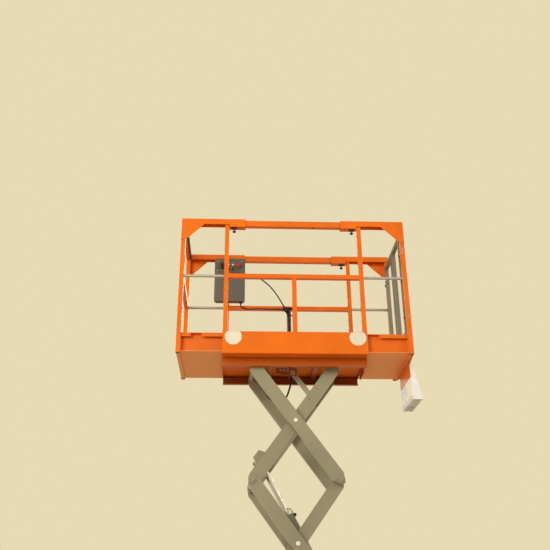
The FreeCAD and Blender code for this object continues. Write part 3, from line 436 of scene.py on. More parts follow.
def make_shades(finish):
    """Materials of the whole machine, from the colours set in the panel."""
    orange, arm = tuple(finish.orange), tuple(finish.arm)
    SHADES.update(
        orange=paint("orange_powder_coat", orange, finish.wear),
        deck=paint("orange_deck_steel", tint(orange, 0.93), finish.wear + 0.25, 0.44),
        # Extension frames: paler orange under the floor sheet, painted bounce light from the floor together with some
        # dust.
        dusty=paint("deck_steel_dust_and_painted_bounce_light", tint(orange, 0.93), finish.wear + 0.25, 0.44,
                    under=(FLOOR_Z - 0.002, (-0.4, 0.4), (0.95, 0.36, 0.10), (0.95, 0.36, 0.10))),
        # Deck frame: painted shade on its faces below the floor and between the channels, darker towards the rear.
        grimy=paint("grimy_frame_steel", orange, finish.wear, 0.30,
                    under=(FLOOR_Z - 0.0175, (-0.245, 0.318), tint(orange, 0.50), tint(orange, 0.34))),
        arm=paint("grey_arm_enamel", arm, finish.wear * 0.6, 0.24),
        box=paint("grey_box_enamel", (0.150, 0.142, 0.118), finish.wear * 0.4, 0.42),
        zinc=galvanised("galvanised_steel", (0.56, 0.56, 0.53)),
        gate=galvanised("gate_tube_zinc", (0.270, 0.250, 0.185), 0.44, 0.35),
        step=galvanised("step_sheet_zinc", (0.97, 0.97, 0.95), 0.50, 0.0),
        link=bright("link_steel", (0.54, 0.52, 0.43), 0.34),
        bright=bright("bright_steel", (0.66, 0.65, 0.62)),
        chrome=bright("chromed_rod", (0.78, 0.78, 0.77), 0.10),
        tyre=rubber("grey_solid_rubber", (0.155, 0.153, 0.148)),
        black=rubber("black_rubber", (0.021, 0.021, 0.022), 0.6),
        plastic=plastic("black_moulding", (0.020, 0.020, 0.021), 0.4),
        red=plastic("red_button_moulding", (0.55, 0.022, 0.018), 0.32),
        rust=rubber("rusty_bore", (0.105, 0.047, 0.020)),
        cream=paint("cream_blank_plate", (0.86, 0.80, 0.63), 0.15, 0.45),
        rim=paint("pale_rim_enamel", (0.60, 0.585, 0.53), finish.wear, 0.36),
    )


def dress(material, *names):
    """Give CAD nodes a finish in place of their plain one."""
    for name in names:
        mesh = NODES[name].data
        mesh.materials.clear()
        mesh.materials.append(SHADES[material])


# Panel values


class LiftFinish(bpy.types.PropertyGroup):
    orange: FloatVectorProperty(name="Platform paint", description="Colour of the platform, rails and chassis",
                                subtype="COLOR", size=3, min=0.0, max=1.0, default=(0.90, 0.175, 0.006))
    arm: FloatVectorProperty(name="Arm paint", description="Colour of the scissor arms",
                             subtype="COLOR", size=3, min=0.0, max=1.0, default=(0.325, 0.298, 0.200))
    wear: FloatProperty(name="Wear", description="How much paint has been scuffed away", min=0.0, max=1.0,
                        subtype="FACTOR", default=0.35)


class LiftFittings(bpy.types.PropertyGroup):
    bolt_width: FloatProperty(name="Bolt heads", description="Width across flats", subtype="DISTANCE",
                              unit="LENGTH", default=0.013, min=0.004)
    plate_radius: FloatProperty(name="Blank plates", description="Radius of the plates on the toe board",
                                subtype="DISTANCE", unit="LENGTH", default=0.063, min=0.02)
    tread_blocks: IntProperty(name="Tread blocks", description="Blocks round each tyre", default=40, min=8)
    tread_pitch: FloatProperty(name="Floor pattern", description="Pitch of the raised marks on the floors",
                               subtype="DISTANCE", unit="LENGTH", default=0.034, min=0.01)


class LiftStage(bpy.types.PropertyGroup):
    floor: FloatVectorProperty(name="Floor", description="Colour of the floor", subtype="COLOR", size=3,
                               min=0.0, max=1.0, default=(0.60, 0.55, 0.43))
    backdrop: FloatVectorProperty(name="Backdrop", description="Colour behind the machine", subtype="COLOR",
                                  size=3, min=0.0, max=1.0, default=(0.80, 0.70, 0.46))
    sky: FloatProperty(name="Soft light", description="Strength of the light from all round", default=0.50,
                       min=0.0)
    key: FloatProperty(name="Front lamp", description="Power of the large lamp", unit="POWER", default=350.0,
                       min=0.0)
    lens: FloatProperty(name="Lens", description="Focal length on a square 36 mm frame", unit="CAMERA",
                        default=48.57, min=10.0)


# Groups of pieces


def toe_plates(fittings):
    """Blank discs on the front toe board, cut flat at its top edge.

    A point at share s of the way out and angle t lies at s * R(t), where R is the radius or, towards the
    top, the distance to the cut. The face bulges by a share of 1 - s * s, and the rim turns back to the board.
    """
    shapes = []
    board = -0.335
    cut = 0.041
    for x in DISCS:
        centre = at(x, 0.0, DISC_Z)
        t = np.arange(72) * (2.0 * math.pi / 72)
        reach = np.minimum(fittings.plate_radius, cut / np.maximum(np.sin(t), 1e-3))
        reach = np.where(np.sin(t) > 0, reach, fittings.plate_radius)
        share = np.array([0.0, 0.35, 0.7, 0.93, 0.975, 1.0, 1.0, 0.9])
        out = np.array([0.0030, 0.0029, 0.0026, 0.0023, 0.0021, 0.0014, 0.0, 0.0])
        points = np.zeros((72, 8, 3))
        points[:, :, 0] = centre[0] + share[None, :] * reach[:, None] * np.cos(t)[:, None]
        points[:, :, 1] = board - out[None, :]
        points[:, :, 2] = centre[2] + share[None, :] * reach[:, None] * np.sin(t)[:, None]
        shapes.append((points.reshape(-1, 3), grid_faces(72, 8, wrap_rows=True)))
    publish("toe_board_plates", shapes, "platform", SHADES["cream"], angle=50.0)
    screws = []
    for x in DISCS:
        for a in (-180, -90, 0):
            r = fittings.plate_radius * 0.84
            p = at(x, 0.0, DISC_Z) + np.array([r * math.cos(math.radians(a)), 0.0, r * math.sin(math.radians(a))])
            p[1] = board - 0.0022
            screws.append(turned([(-0.001, 0), (-0.001, 0.0030), (0.0008, 0.0028), (0.0016, 0.002), (0.0019, 0)],
                                 p, (0, -1, 0), 14))
    publish("toe_board_rivets", screws, "platform", SHADES["link"])


def plungers():
    """Sprung plungers under the sleeves: folded bracket, threaded body, stem and a mushroom knob."""
    for body, x, sides in (("ext_left", -470.0, (-1, 1)), ("ext_right", 470.0, (-1, 1))):
        metal, dark = [], []
        for side in sides:
            y = side * 318.0
            metal.append(block(at(x - 24.0, y - 15.0, 1033.2), at(x + 24.0, y + 15.0, 1036.8), 0.003))
            for k in (-15.0, 15.0):
                metal += bolt(at(x + k, y, 1033.4), (0, 0, -1), 0.009, 0.004)
            top = at(x, y, 1033.5)
            dark.append(turned([(0.0, 0), (0.0, 0.0085), (0.013, 0.0085), (0.0145, 0.007), (0.0145, 0.0042),
                                (0.024, 0.0042), (0.0245, 0.0075), (0.026, 0.0125), (0.0295, 0.0145),
                                (0.0335, 0.0140), (0.0365, 0.0105), (0.0378, 0.0050), (0.038, 0)],
                               top, (0, 0, -1), 28))
        publish(body + "_plunger_brackets", metal, body, SHADES["black"])
        publish(body + "_plungers", dark, body, SHADES["plastic"], angle=45.0)


def rail_rods():
    """Bright tubes over the sliding rods of the middle rails, from the end posts into the fixed rails."""
    for body, sign in (("ext_left", -1), ("ext_right", 1)):
        shapes = []
        for side in (-1, 1):
            start = at(sign * 851.9, side * 318.0, 610.0)
            r = 0.0113
            shapes.append(turned([(0.0, 0), (0.0, r + 0.003), (0.004, r + 0.003), (0.005, r), (0.521, r),
                                  (0.5222, r - 0.0012), (0.5222, 0)], start, (-sign, 0, 0), 28))
        publish(body + "_rods", shapes, body, SHADES["zinc"])


def edge_strip():
    """Black strip on the inner side of the left end's top rail, a rounded L in section."""
    path = np.linspace(at(-852.0, -286.0, 1057.0), at(-852.0, 286.0, 1057.0), 13)
    section = [(-0.0055, -0.0002), (-0.0055, -0.003), (-0.003, -0.0050), (0.005, -0.0050), (0.0085, -0.002),
               (0.0095, 0.004), (0.0095, 0.030), (0.007, 0.034), (0.0002, 0.034), (0.0002, -0.0002)]
    publish("left_end_black_strip", [carried(section, path, (0, 0, 1))], "ext_left", SHADES["black"], angle=50.0)


def gate_fittings():
    """Washers at the hinge pins and weld beads at the corners of both leaves."""
    h = 15.0
    for name, side in (("gate_front", -1), ("gate_rear", 1)):
        pins, beads = [], []
        for z in (291.0, 825.0):
            for level, run in ((z + 10.2, 1), (z - 10.2, -1)):
                pins.append(turned([(0.0, 0.0064), (0.0, 0.0115), (0.0018, 0.0118), (0.0036, 0.0110),
                                    (0.0036, 0.0064)], at(HINGE[0], side * HINGE[1], level), (0, 0, run), 24))
        for y, turn in ((23.0, 1), (HINGE[1], -1)):
            for z, rise in ((156.0, 1), (1000.0, -1)):
                inner = y + turn * h
                edge = z + rise * 2 * h
                for x in (HINGE[0] - h, HINGE[0] + h):
                    beads.append(bead(at(x, side * inner, z + rise * 3.0), at(x, side * inner, edge - rise * 2.0),
                                      0.0018))
                beads.append(bead(at(HINGE[0] - h + 2.0, side * inner, edge), at(HINGE[0] + h - 2.0, side * inner,
                                                                                  edge), 0.0018))
        publish(name + "_hinge_washers", pins, name, SHADES["bright"])
        publish(name + "_welds", beads, name, SHADES["gate"], angle=80.0)


def hinge_bolts():
    """Bolts through the entry posts by each hinge, and the zinc sleeves and nuts on its lugs."""
    shapes = []
    for side in (-1, 1):
        for z in (868.0, 846.0, 824.0, 302.0, 280.0):
            shapes += bolt(at(866.0, side * 335.0, z), (0, side, 0), 0.010, 0.004)
            shapes += bolt(at(885.8, side * 318.0, z), (1, 0, 0), 0.010, 0.004)
    publish("hinge_bolts", shapes, "ext_right", SHADES["link"])
    sleeves, nuts = [], []
    for side in (-1, 1):
        for z in (291.0, 825.0):
            y0, y1 = sorted((side * 258.7, side * 300.9))
            sleeves.append(block(at(HINGE[0] - 15.3, y0, z - 10.15), at(HINGE[0] + 15.3, y1, z + 10.15), 0.001))
            for k in (-4.5, 4.5):
                nuts += bolt(at(HINGE[0] - 15.2, side * 285.0, z + k), (-1, 0, 0), 0.008, 0.006, washer=False)
    publish("hinge_lug_sleeves", sleeves, "ext_right", SHADES["gate"])
    publish("hinge_lug_nuts", nuts, "ext_right", SHADES["black"])


def post_plugs():
    """Dark plugs in the open feet of the corner posts."""
    for body, x in (("ext_left", -869.0), ("ext_right", 869.0)):
        plugs = [block(at(x - 13.8, side * 318.0 - 13.8, -16.6), at(x + 13.8, side * 318.0 + 13.8, -13.0))
                 for side in (-1, 1)]
        publish(body + "_post_plugs", plugs, body, SHADES["plastic"])


def step_grip():
    """Rows of raised buttons on the tread of the entry step, and the bolts that hold it."""
    low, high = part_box("entry_step")
    tread = FLOOR_Z - 0.278
    shapes = []
    for x in np.arange(low[0] + 0.022, high[0] - 0.010, 0.019):
        for y in np.arange(-0.156, 0.157, 0.024):
            shapes.append(turned([(-0.0005, 0.0062), (0.0, 0.0062), (0.0014, 0.0045), (0.0016, 0.0025),
                                  (0.0004, 0.0018), (0.0004, 0)], (x, y, tread), (0, 0, 1), 12))
    publish("step_grip", shapes, "ext_right", SHADES["step"])
    bolts = []
    for y in (-150.0, -60.0, 60.0, 150.0):
        for z in (-62.0, -118.0):
            bolts += bolt(at(885.0, y, z), (1, 0, 0), 0.013, 0.006)
    publish("step_bolts", bolts, "ext_right", SHADES["bright"])


def floor_marks(fittings):
    """Raised almond marks on the floors, each turned square to its neighbours.

    A mark is a low mound over an almond outline: half width w * cos(p) at p along its length, and height
    1 - s * s at share s of the way from its spine to its edge.
    """
    pitch = fittings.tread_pitch
    top = {"platform": ("deck_floor", FLOOR_Z - 0.013, 0.27),
           "ext_left": ("ext_left_frame", FLOOR_Z, 0.28), "ext_right": ("ext_right_frame", FLOOR_Z, 0.28)}
    p = np.linspace(-math.pi / 2, math.pi / 2, 7)
    share = np.array([-1.0, -0.6, 0.0, 0.6, 1.0])
    along = 0.0115 * np.sin(p)
    across = 0.0034 * np.cos(p)
    mound = np.stack([np.repeat(along[:, None], 5, 1), across[:, None] * share[None, :],
                      np.cos(p)[:, None] ** 0.5 * (0.0013 * (1 - share ** 2))[None, :] - 0.0001], -1)
    quads = np.array(grid_faces(7, 5))
    for body, (node, z, half_y) in top.items():
        low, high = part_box(node)
        x0, x1 = low[0] + 0.030, high[0] - 0.025
        if body == "platform":
            x0, x1 = MIDDLE_X - 0.318, MIDDLE_X + 0.319
        nx, ny = int((x1 - x0) / pitch), int(2 * half_y / pitch)
        gx, gy = np.meshgrid(np.arange(nx + 1), np.arange(ny + 1), indexing="ij")
        centre = np.stack([x0 + gx * pitch, -ny * pitch / 2 + gy * pitch, np.full(gx.shape, z)], -1).reshape(-1, 3)
        turn = np.where((gx + gy).reshape(-1) % 2 == 0, math.pi / 4, -math.pi / 4)
        cos, sin = np.cos(turn)[:, None, None], np.sin(turn)[:, None, None]
        x, y = mound[None, :, :, 0], mound[None, :, :, 1]
        points = np.stack([x * cos - y * sin, x * sin + y * cos,
                           np.repeat(mound[None, :, :, 2], len(turn), 0)], -1) + centre[:, None, None, :]
        count = mound.shape[0] * mound.shape[1]
        all_quads = (quads[None] + (np.arange(len(turn)) * count)[:, None, None]).reshape(-1, 4)
        publish(body + "_floor_marks", [(points.reshape(-1, 3), all_quads.tolist())], body, SHADES["deck"],
                angle=60.0)


def arm_fittings():
    """Plugs in the crossing pins, and caps with keeper screws on the end pins, on the arms' outer faces."""
    half, face = SPAN / 2.0, ARM_FACE
    mid_1, mid_2 = BASE_LINE + RISE, BASE_LINE + 2.0 * RISE
    outer = {"outer_arms_1": ((0.0, BASE_LINE + RISE / 2), (-half, mid_1), (half, BASE_LINE)),
             "outer_arms_2": ((0.0, mid_1 + RISE / 2), (half, mid_1), (-half, mid_2))}
    for body, pins in outer.items():
        plugs, caps, screws = [], [], []
        for n, (x, z) in enumerate(pins):
            if n == 2:
                continue
            for side in (-1, 1):
                centre = base_at(x, side * face, z)
                if n == 0:
                    plugs.append(turned([(-0.001, 0), (-0.001, 0.0150), (0.0040, 0.0148), (0.0060, 0.0128),
                                         (0.0060, 0.0040), (0.0045, 0.0032), (0.0045, 0)], centre,
                                        (0, side, 0), 24))
                    continue
                caps.append(turned([(-0.001, 0), (-0.001, 0.030), (0.003, 0.030), (0.0045, 0.0285),
                                    (0.0045, 0.019), (0.0110, 0.0178), (0.0125, 0.0165), (0.0125, 0)],
                                   centre, (0, side, 0), 36))
                for a in (40.0, 220.0):
                    p = centre + 0.0235 * np.array([math.cos(math.radians(a)), 0.0, math.sin(math.radians(a))])
                    p[1] = side * (face + 0.0045)
                    screws += bolt(p, (0, side, 0), 0.007, 0.003, washer=False)
        publish(body + "_pin_plugs", plugs, body, SHADES["step"], angle=40.0)
        publish(body + "_pin_caps", caps, body, SHADES["arm"], angle=40.0)
        publish(body + "_keeper_screws", screws, body, SHADES["bright"])


def arm_marks():
    """Bolt on the inner face of each upper outer arm, and two rusty stop holes on each upper inner one."""
    bolts, holes = [], []
    for side in (-1, 1):
        bolts += bolt(at(-165.8, side * 170.0, -220.8), (0, -side, 0), 0.016, 0.008)
        for x, z in ((165.2, -236.0), (108.9, -317.7)):
            holes.append(turned([(-0.0005, 0), (-0.0005, 0.0042), (0.0002, 0.0042), (0.0004, 0.0034),
                                 (0.0001, 0.0026), (0.0001, 0)], at(x, side * 158.0, z), (0, side, 0), 16))
    publish("arm_bolts", bolts, "outer_arms_2", SHADES["bright"])
    publish("arm_stop_holes", holes, "inner_arms_2", SHADES["rust"])


def anchor_bolts():
    """Bolts of the anchor plate under the deck, and the retaining ring of the link's pin."""
    shapes = []
    for x in (-96.0, -68.0, -40.0):
        for z in (-26.0, -46.0):
            shapes += bolt(at(x, -17.0, z), (0, -1, 0), 0.015, 0.007)
    shapes.append(turned([(-0.001, 0), (-0.001, 0.021), (0.002, 0.021), (0.003, 0.020), (0.003, 0.014),
                          (0.0065, 0.0135), (0.0075, 0.0125), (0.0075, 0.0060), (0.0050, 0.0055), (0.0050, 0)],
                         at(0.0, -17.0, -64.0), (0, -1, 0), 30))
    publish("anchor_bolts", shapes, "platform", SHADES["zinc"])


def cylinder_fittings():
    """Gland nut, wiper ring and pipe ports of the lift cylinder."""
    low = base_at(SPAN / 2 - 0.130 * math.cos(ARM_SLOPE), 0.0, BASE_LINE + 0.130 * math.sin(ARM_SLOPE))
    eye = base_at(-SPAN / 2 + 0.176 * math.cos(ARM_SLOPE) - 0.064 * math.sin(ARM_SLOPE), 0.0,
                  BASE_LINE + RISE + 0.176 * math.sin(ARM_SLOPE) + 0.064 * math.cos(ARM_SLOPE))
    run = (eye - low) / np.linalg.norm(eye - low)
    mouth = low + run * 0.640
    r = 0.036
    gland = [turned([(-0.042, r - 0.001), (-0.042, r + 0.005), (-0.040, r + 0.006), (-0.004, r + 0.006),
                     (0.0, r + 0.004), (0.004, 0.030), (0.009, 0.0285), (0.009, 0.0208), (0.0, 0.0208)],
                    mouth, run, 40)]
    publish("cylinder_gland", gland, "cylinder_barrel", SHADES["bright"], angle=30.0)
    square = np.cross(run, (0.0, 1.0, 0.0))
    square = square if square[2] > 0 else -square
    ports = []
    for s in (0.070, 0.585):
        foot = low + run * s + square * (r - 0.004)
        ports.append(turned([(0.0, 0), (0.0, 0.014), (0.012, 0.014), (0.0125, 0.011), (0.0125, 0)], foot, square, 24))
        ports.append(turned([(0.012, 0), (0.012, 0.0105), (0.021, 0.0105), (0.022, 0.009), (0.022, 0)], foot,
                            square, 6))
    publish("cylinder_ports", ports, "cylinder_barrel", SHADES["black"], angle=30.0)


def wheels(fittings):
    """Solid tyres with tread blocks, and dished rims with wheel bolts.

    A point of the tyre is at radius R(w) less a groove, where w runs across the section, and the groove
    between blocks opens where the angle times the number of blocks is near a whole turn.
    """
    blocks = fittings.tread_blocks
    half = 0.036
    width = np.array([-half, -half, -half, -0.034, -0.030, -0.026, -0.012, -0.011, -0.009, -0.008, 0.008, 0.009,
                      0.011, 0.012, 0.026, 0.030, 0.034, half, half, half])
    reach = np.array([0.0715, 0.085, 0.107, 0.113, 0.1168, 0.1190, 0.1199, 0.1150, 0.1150, 0.1200, 0.1200, 0.1150,
                      0.1150, 0.1199, 0.1190, 0.1168, 0.113, 0.107, 0.085, 0.0715])
    steps = np.array([0.0, 0.62, 0.68, 0.90, 0.96])
    t = ((np.arange(blocks)[:, None] + steps[None, :]) / blocks).reshape(-1) * 2.0 * math.pi
    groove = np.tile(np.array([0.0, 0.0, 1.0, 1.0, 0.0]), blocks)
    edge = np.where((np.abs(width) > 0.0125) & (reach > 0.110), 0.0042, 0.0)
    radius = reach[None, :] - groove[:, None] * edge[None, :]
    for tag, x, side in WHEELS:
        centre = base_at(x, side * WHEEL_Y, WHEEL_R)
        points = np.zeros(radius.shape + (3,))
        points[..., 0] = centre[0] + radius * np.sin(t)[:, None]
        points[..., 1] = centre[1] + width[None, :]
        points[..., 2] = centre[2] + radius * np.cos(t)[:, None]
        tyre = publish("tyre_tread_" + tag, [(points.reshape(-1, 3),
                                              grid_faces(len(t), len(width), wrap_rows=True, wrap_cols=True))],
                       "wheel_" + tag, SHADES["tyre"], angle=28.0)
        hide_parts("tyre_" + tag)
        dish = [(-0.032, 0), (-0.032, 0.0716), (0.0262, 0.0716), (0.0285, 0.0700), (0.0262, 0.0672),
                (0.0150, 0.0610), (0.0095, 0.0520), (0.0085, 0.0340), (0.0120, 0.0290), (0.0190, 0.0270),
                (0.0215, 0.0240), (0.0222, 0.0120), (0.0225, 0)]
        rim = publish("rim_dish_" + tag, [turned(dish, centre, (0, side, 0), 64)], "wheel_" + tag, SHADES["rim"],
                      angle=30.0)
        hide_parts("rim_" + tag)
        nuts = []
        for k in range(5):
            a = 2.0 * math.pi * k / 5
            p = centre + 0.0425 * np.array([math.cos(a), 0.0, math.sin(a)]) + np.array([0.0, side * 0.0086, 0.0])
            nuts += bolt(p, (0, side, 0), 0.013, 0.008)
        publish("wheel_nuts_" + tag, nuts, "wheel_" + tag, SHADES["bright"])


def cable(name, node, points, radius):
    """Cable or hose along one smooth spline, whose control points are the corners of its route."""
    curve = bpy.data.curves.new(name, "CURVE")
    curve.dimensions = "3D"
    curve.bevel_depth = radius
    curve.bevel_resolution = 5
    curve.resolution_u = 12
    curve.use_fill_caps = True
    spline = curve.splines.new("NURBS")
    spline.points.add(len(points) - 1)
    for point, place in zip(spline.points, points):
        point.co = (*place, 1.0)
    spline.order_u = 3
    spline.use_endpoint_u = True
    curve.materials.append(SHADES["black"])
    piece = bpy.data.objects.new(name, curve)
    bpy.context.scene.collection.objects.link(piece)
    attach(piece, "platform")
    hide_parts(node)


def cables():
    """Two cables from the control box to the middle post and down it, and the hose that loops under the deck.

    Columns: x, share of the way from the box's middle plane to the post's, height above the floor.
    """
    low = ((-410.0, 0.0, 628.0), (-410.0, 0.0, 600.0), (-390.0, 0.05, 584.0), (-340.0, 0.16, 580.0),
           (-250.0, 0.38, 590.0), (-155.0, 0.62, 588.0), (-80.0, 0.84, 596.0), (-28.0, 1.0, 582.0),
           (-5.0, 1.0, 534.0), (-4.0, 1.0, 450.0), (-6.0, 1.0, 310.0), (-4.0, 1.0, 170.0), (-5.0, 1.0, 60.0),
           (-5.0, 1.0, -1.0))
    high = ((-364.0, 0.0, 900.0), (-322.0, 0.0, 900.0), (-240.0, 0.24, 868.0), (-150.0, 0.4, 792.0),
            (-84.0, 0.5, 692.0), (-42.0, 0.6, 612.0), (-4.0, 0.68, 574.0), (9.0, 0.9, 524.0), (8.0, 1.0, 440.0),
            (10.0, 1.0, 300.0), (8.0, 1.0, 160.0), (9.0, 1.0, 60.0), (9.0, 1.0, -1.0))
    for name, route, length in (("control_cable_1", low, 1.000), ("control_cable_2", high, 1.086)):
        points = [at(x, 257.0 + 37.0 * share, z) for x, share, z in route]
        cable(name + "_sheath", name, points, 0.0055)
    hose = ((-8.0, -51.0), (-8.0, -123.0), (-27.0, -188.0), (-46.0, -242.0), (-90.0, -275.0), (-146.0, -275.0),
            (-191.0, -242.0), (-208.0, -188.0), (-189.0, -123.0), (-189.0, -51.0))
    points = [at(x, 60.0, z) for x, z in hose]
    cable("deck_hose_sheath", "deck_hose", points, 0.007)


def cable_ties():
    """Ties round both cables on the post, with their locks."""
    ties = []
    for z in (500.0, 330.0, 150.0):
        ring = [at(x, y, z) for x, y in ((-13.0, 300.6), (-13.0, 289.0), (-9.0, 286.6), (13.0, 286.6), (17.0, 289.0),
                                         (17.0, 300.6))]
        strap = [(-0.0022, 0.0), (0.0022, 0.0), (0.0022, 0.0010), (-0.0022, 0.0010)]
        ties.append(carried([(b, a) for a, b in strap], ring, (0, 0, 1)))
        ties.append(block(at(-2.0, 283.4, z - 3.5), at(6.0, 286.8, z + 3.5), 0.001))
    publish("cable_ties", ties, "platform", SHADES["plastic"])


def cable_binding():
    """Cord wound round both cables where they meet, as rippled turns, and its spare loop: an ellipse that sways."""
    wound = (((-52.0, 286.0, 604.0), (-2.0, 286.0, 568.0), 0.0120), ((-26.0, 283.0, 604.0), (27.0, 286.0, 598.0), 0.0125),
             ((-12.0, 286.0, 588.0), (1.0, 289.0, 528.0), 0.0125))
    shapes = [bead(at(*start), at(*end), r) for start, end, r in wound]
    turn = np.linspace(0.0, 2.0 * np.pi, 41)[:-1]
    loop = [at(22.0 + 12.0 * np.cos(a), 284.0 + 3.0 * np.sin(2.0 * a), 566.0 + 34.0 * np.sin(a)) for a in turn]
    round_cord = [(0.0050 * np.cos(a), 0.0050 * np.sin(a)) for a in turn[::5]]
    shapes.append(carried(round_cord, loop, (0, 1, 0), closed=True))
    publish("cable_binding", shapes, "platform", SHADES["plastic"])


def box_controls():
    """Control panel across the head of the box, with a stick in its boot, a stop button and two switches.

    The rest of the face stays plain, with a seam along the foot of the lid and four screws.
    """
    dark, red, metal = [], [], []
    centre = at(-506.0, 233.0, 968.0)
    face = np.array([0.0, -0.0030, 0.0])
    lid = [(-0.112, -0.056), (0.112, -0.056), (0.118, -0.050), (0.118, 0.050), (0.112, 0.056), (-0.112, 0.056),
           (-0.118, 0.050), (-0.118, -0.050)]
    lid_piece = [drawn(lid, centre + np.array([0, 0.0002, 0]), (1, 0, 0), (0, 0, 1), 0.0032)]
    publish("control_lid", lid_piece, "platform", SHADES["box"], bevel=0.0008)
    stick = centre + face + np.array([-0.066, 0.0, -0.004])
    dark.append(turned([(0.0, 0), (0.0, 0.026), (0.004, 0.0255), (0.006, 0.021), (0.010, 0.0225), (0.013, 0.017),
                        (0.017, 0.0185), (0.020, 0.012), (0.024, 0.0125), (0.027, 0.006), (0.044, 0.005),
                        (0.047, 0.010), (0.056, 0.0125), (0.064, 0.009), (0.067, 0.0)], stick, (0, -1, 0), 28))
    stop = centre + face + np.array([0.072, 0.0, 0.0])
    metal.append(turned([(0.0, 0), (0.0, 0.016), (0.006, 0.0155), (0.007, 0.013), (0.007, 0)], stop, (0, -1, 0), 28))
    red.append(turned([(0.006, 0), (0.006, 0.010), (0.014, 0.010), (0.015, 0.019), (0.019, 0.0205), (0.025, 0.0185),
                       (0.0275, 0.012), (0.0285, 0)], stop, (0, -1, 0), 32))
    for dx in (-0.012, 0.026):
        p = centre + face + np.array([dx, 0.0, 0.012])
        metal += bolt(p, (0, -1, 0), 0.014, 0.004)
        metal.append(turned([(0.004, 0), (0.004, 0.003), (0.018, 0.0026), (0.020, 0.0034), (0.023, 0.0030),
                             (0.024, 0)], p, (0.0, -1, 0.25), 14))
        dark.append(turned([(0.0, 0), (0.0, 0.010), (0.005, 0.010), (0.006, 0.007), (0.009, 0.0065), (0.010, 0)],
                           centre + face + np.array([dx, 0.0, -0.030]), (0, -1, 0), 24))
    for dx in (-0.106, 0.106):
        for dz in (-0.045, 0.045):
            metal += bolt(centre + face + np.array([dx, 0.0, dz]), (0, -1, 0), 0.007, 0.0025, washer=False)
    publish("control_stick_and_knobs", dark, "platform", SHADES["plastic"], angle=40.0)
    publish("control_stop_button", red, "platform", SHADES["red"], angle=40.0)
    publish("control_switches", metal, "platform", SHADES["bright"], angle=40.0)
    nuts = []
    for foot, axis in ((at(-410.0, 257.0, 640.0), (0, 0, -1)), (at(-376.0, 257.0, 900.0), (1, 0, 0))):
        nuts.append(turned([(-0.0005, 0.0092), (-0.0005, 0.0135), (0.005, 0.0135), (0.006, 0.0120),
                            (0.006, 0.0092)], foot, axis, 6))
        nuts.append(turned([(0.0065, 0.0092), (0.0065, 0.0116), (0.011, 0.0112), (0.0128, 0.0085), (0.0128, 0.0062),
                            (0.0110, 0.0062)], foot, axis, 24))
    publish("control_glands", nuts, "platform", SHADES["plastic"])


def cover_fittings():
    """Quarter-turn latches and corner bolts on the louvred covers, and blades behind the louvres."""
    z0, z1 = 0.124, 0.340
    for name, side in (("front", -1), ("rear", 1)):
        y = side * 0.336
        metal, blades, dark = [], [], []
        for x in (-0.218, 0.218):
            for z in (z0 + 0.020, z1 - 0.020):
                metal += bolt(base_at(x, y, z), (0, side, 0), 0.010, 0.0045)
        for x in (-0.165, 0.165):
            p = base_at(x, y, (z0 + z1) / 2)
            dark.append(turned([(-0.001, 0), (-0.001, 0.019), (0.0025, 0.0185), (0.0035, 0.016), (0.0025, 0.015),
                                (0.0025, 0.006), (0.007, 0.0055), (0.008, 0)], p, (0, side, 0), 30))
        pitch = (z1 - z0) / 12.0
        section = [(0.0, 0.0), (0.0045, -0.0010), (0.0095, -0.0060), (0.0095, -0.0075), (0.0040, -0.0026),
                   (0.0, -0.0016)]
        for k in range(5):
            z = (z0 + z1) / 2 + (k - 2) * pitch + pitch / 4
            path = np.linspace(base_at(-0.118, side * 0.331, z), base_at(0.118, side * 0.331, z), 2)
            flip = [(side * s, u) for s, u in section]
            blades.append(carried([(-a, b) for a, b in flip], path, (0, 0, 1)))
        publish(name + "_cover_bolts", metal, "chassis", SHADES["bright"])
        publish(name + "_cover_latches", dark, "chassis", SHADES["plastic"], angle=40.0)
        publish(name + "_cover_blades", blades, "chassis", SHADES["orange"])


def roller_washers():
    """Washers and retaining rings on the faces of the rollers."""
    half = SPAN / 2.0
    mid_1, mid_2 = BASE_LINE + RISE, BASE_LINE + 2.0 * RISE
    spots = (("inner_arms_1", -half, BASE_LINE), ("outer_arms_1", half, BASE_LINE),
             ("outer_arms_2", -half, mid_2), ("inner_arms_2", half, mid_2))
    for body, x, z in spots:
        shapes = [turned([(0.0, 0.0), (0.0, 0.016), (0.0015, 0.0155), (0.0015, 0.010), (0.003, 0.0095), (0.003, 0)],
                         base_at(x, side * 0.2360, z), (0, side, 0), 24) for side in (-1, 1)]
        publish(body + "_roller_rings", shapes, body, SHADES["bright"])


def weld_beads():
    """Beads where the rails meet their posts."""
    centre, ends = [], {"ext_left": [], "ext_right": []}
    for side in (-1, 1):
        face = side * 335.0
        for x in (-508.0, 508.0):
            for z in (593.0, 627.0):
                centre.append(bead(at(x, side * 302.0, z), at(x, face, z)))
        for x in (-17.0, 17.0):
            centre.append(bead(at(x, side * 302.0, 593.0), at(x, face, 593.0)))
            centre.append(bead(at(x, side * 302.0, 150.0), at(x, face, 150.0)))
        for x in (-542.0, -508.0, 508.0, 542.0):
            centre.append(bead(at(x, side * 302.0, 150.0), at(x, face, 150.0)))
        for body, sign in (("ext_left", -1), ("ext_right", 1)):
            ends[body].append(bead(at(sign * 852.0, side * 340.0, 915.0),
                                   at(sign * 852.0, side * 340.0, 1056.0)))
    publish("centre_rail_welds", centre, "platform", SHADES["orange"], angle=80.0)
    for body, beads in ends.items():
        publish(body + "_welds", beads, body, SHADES["orange"], angle=80.0)


# Operators


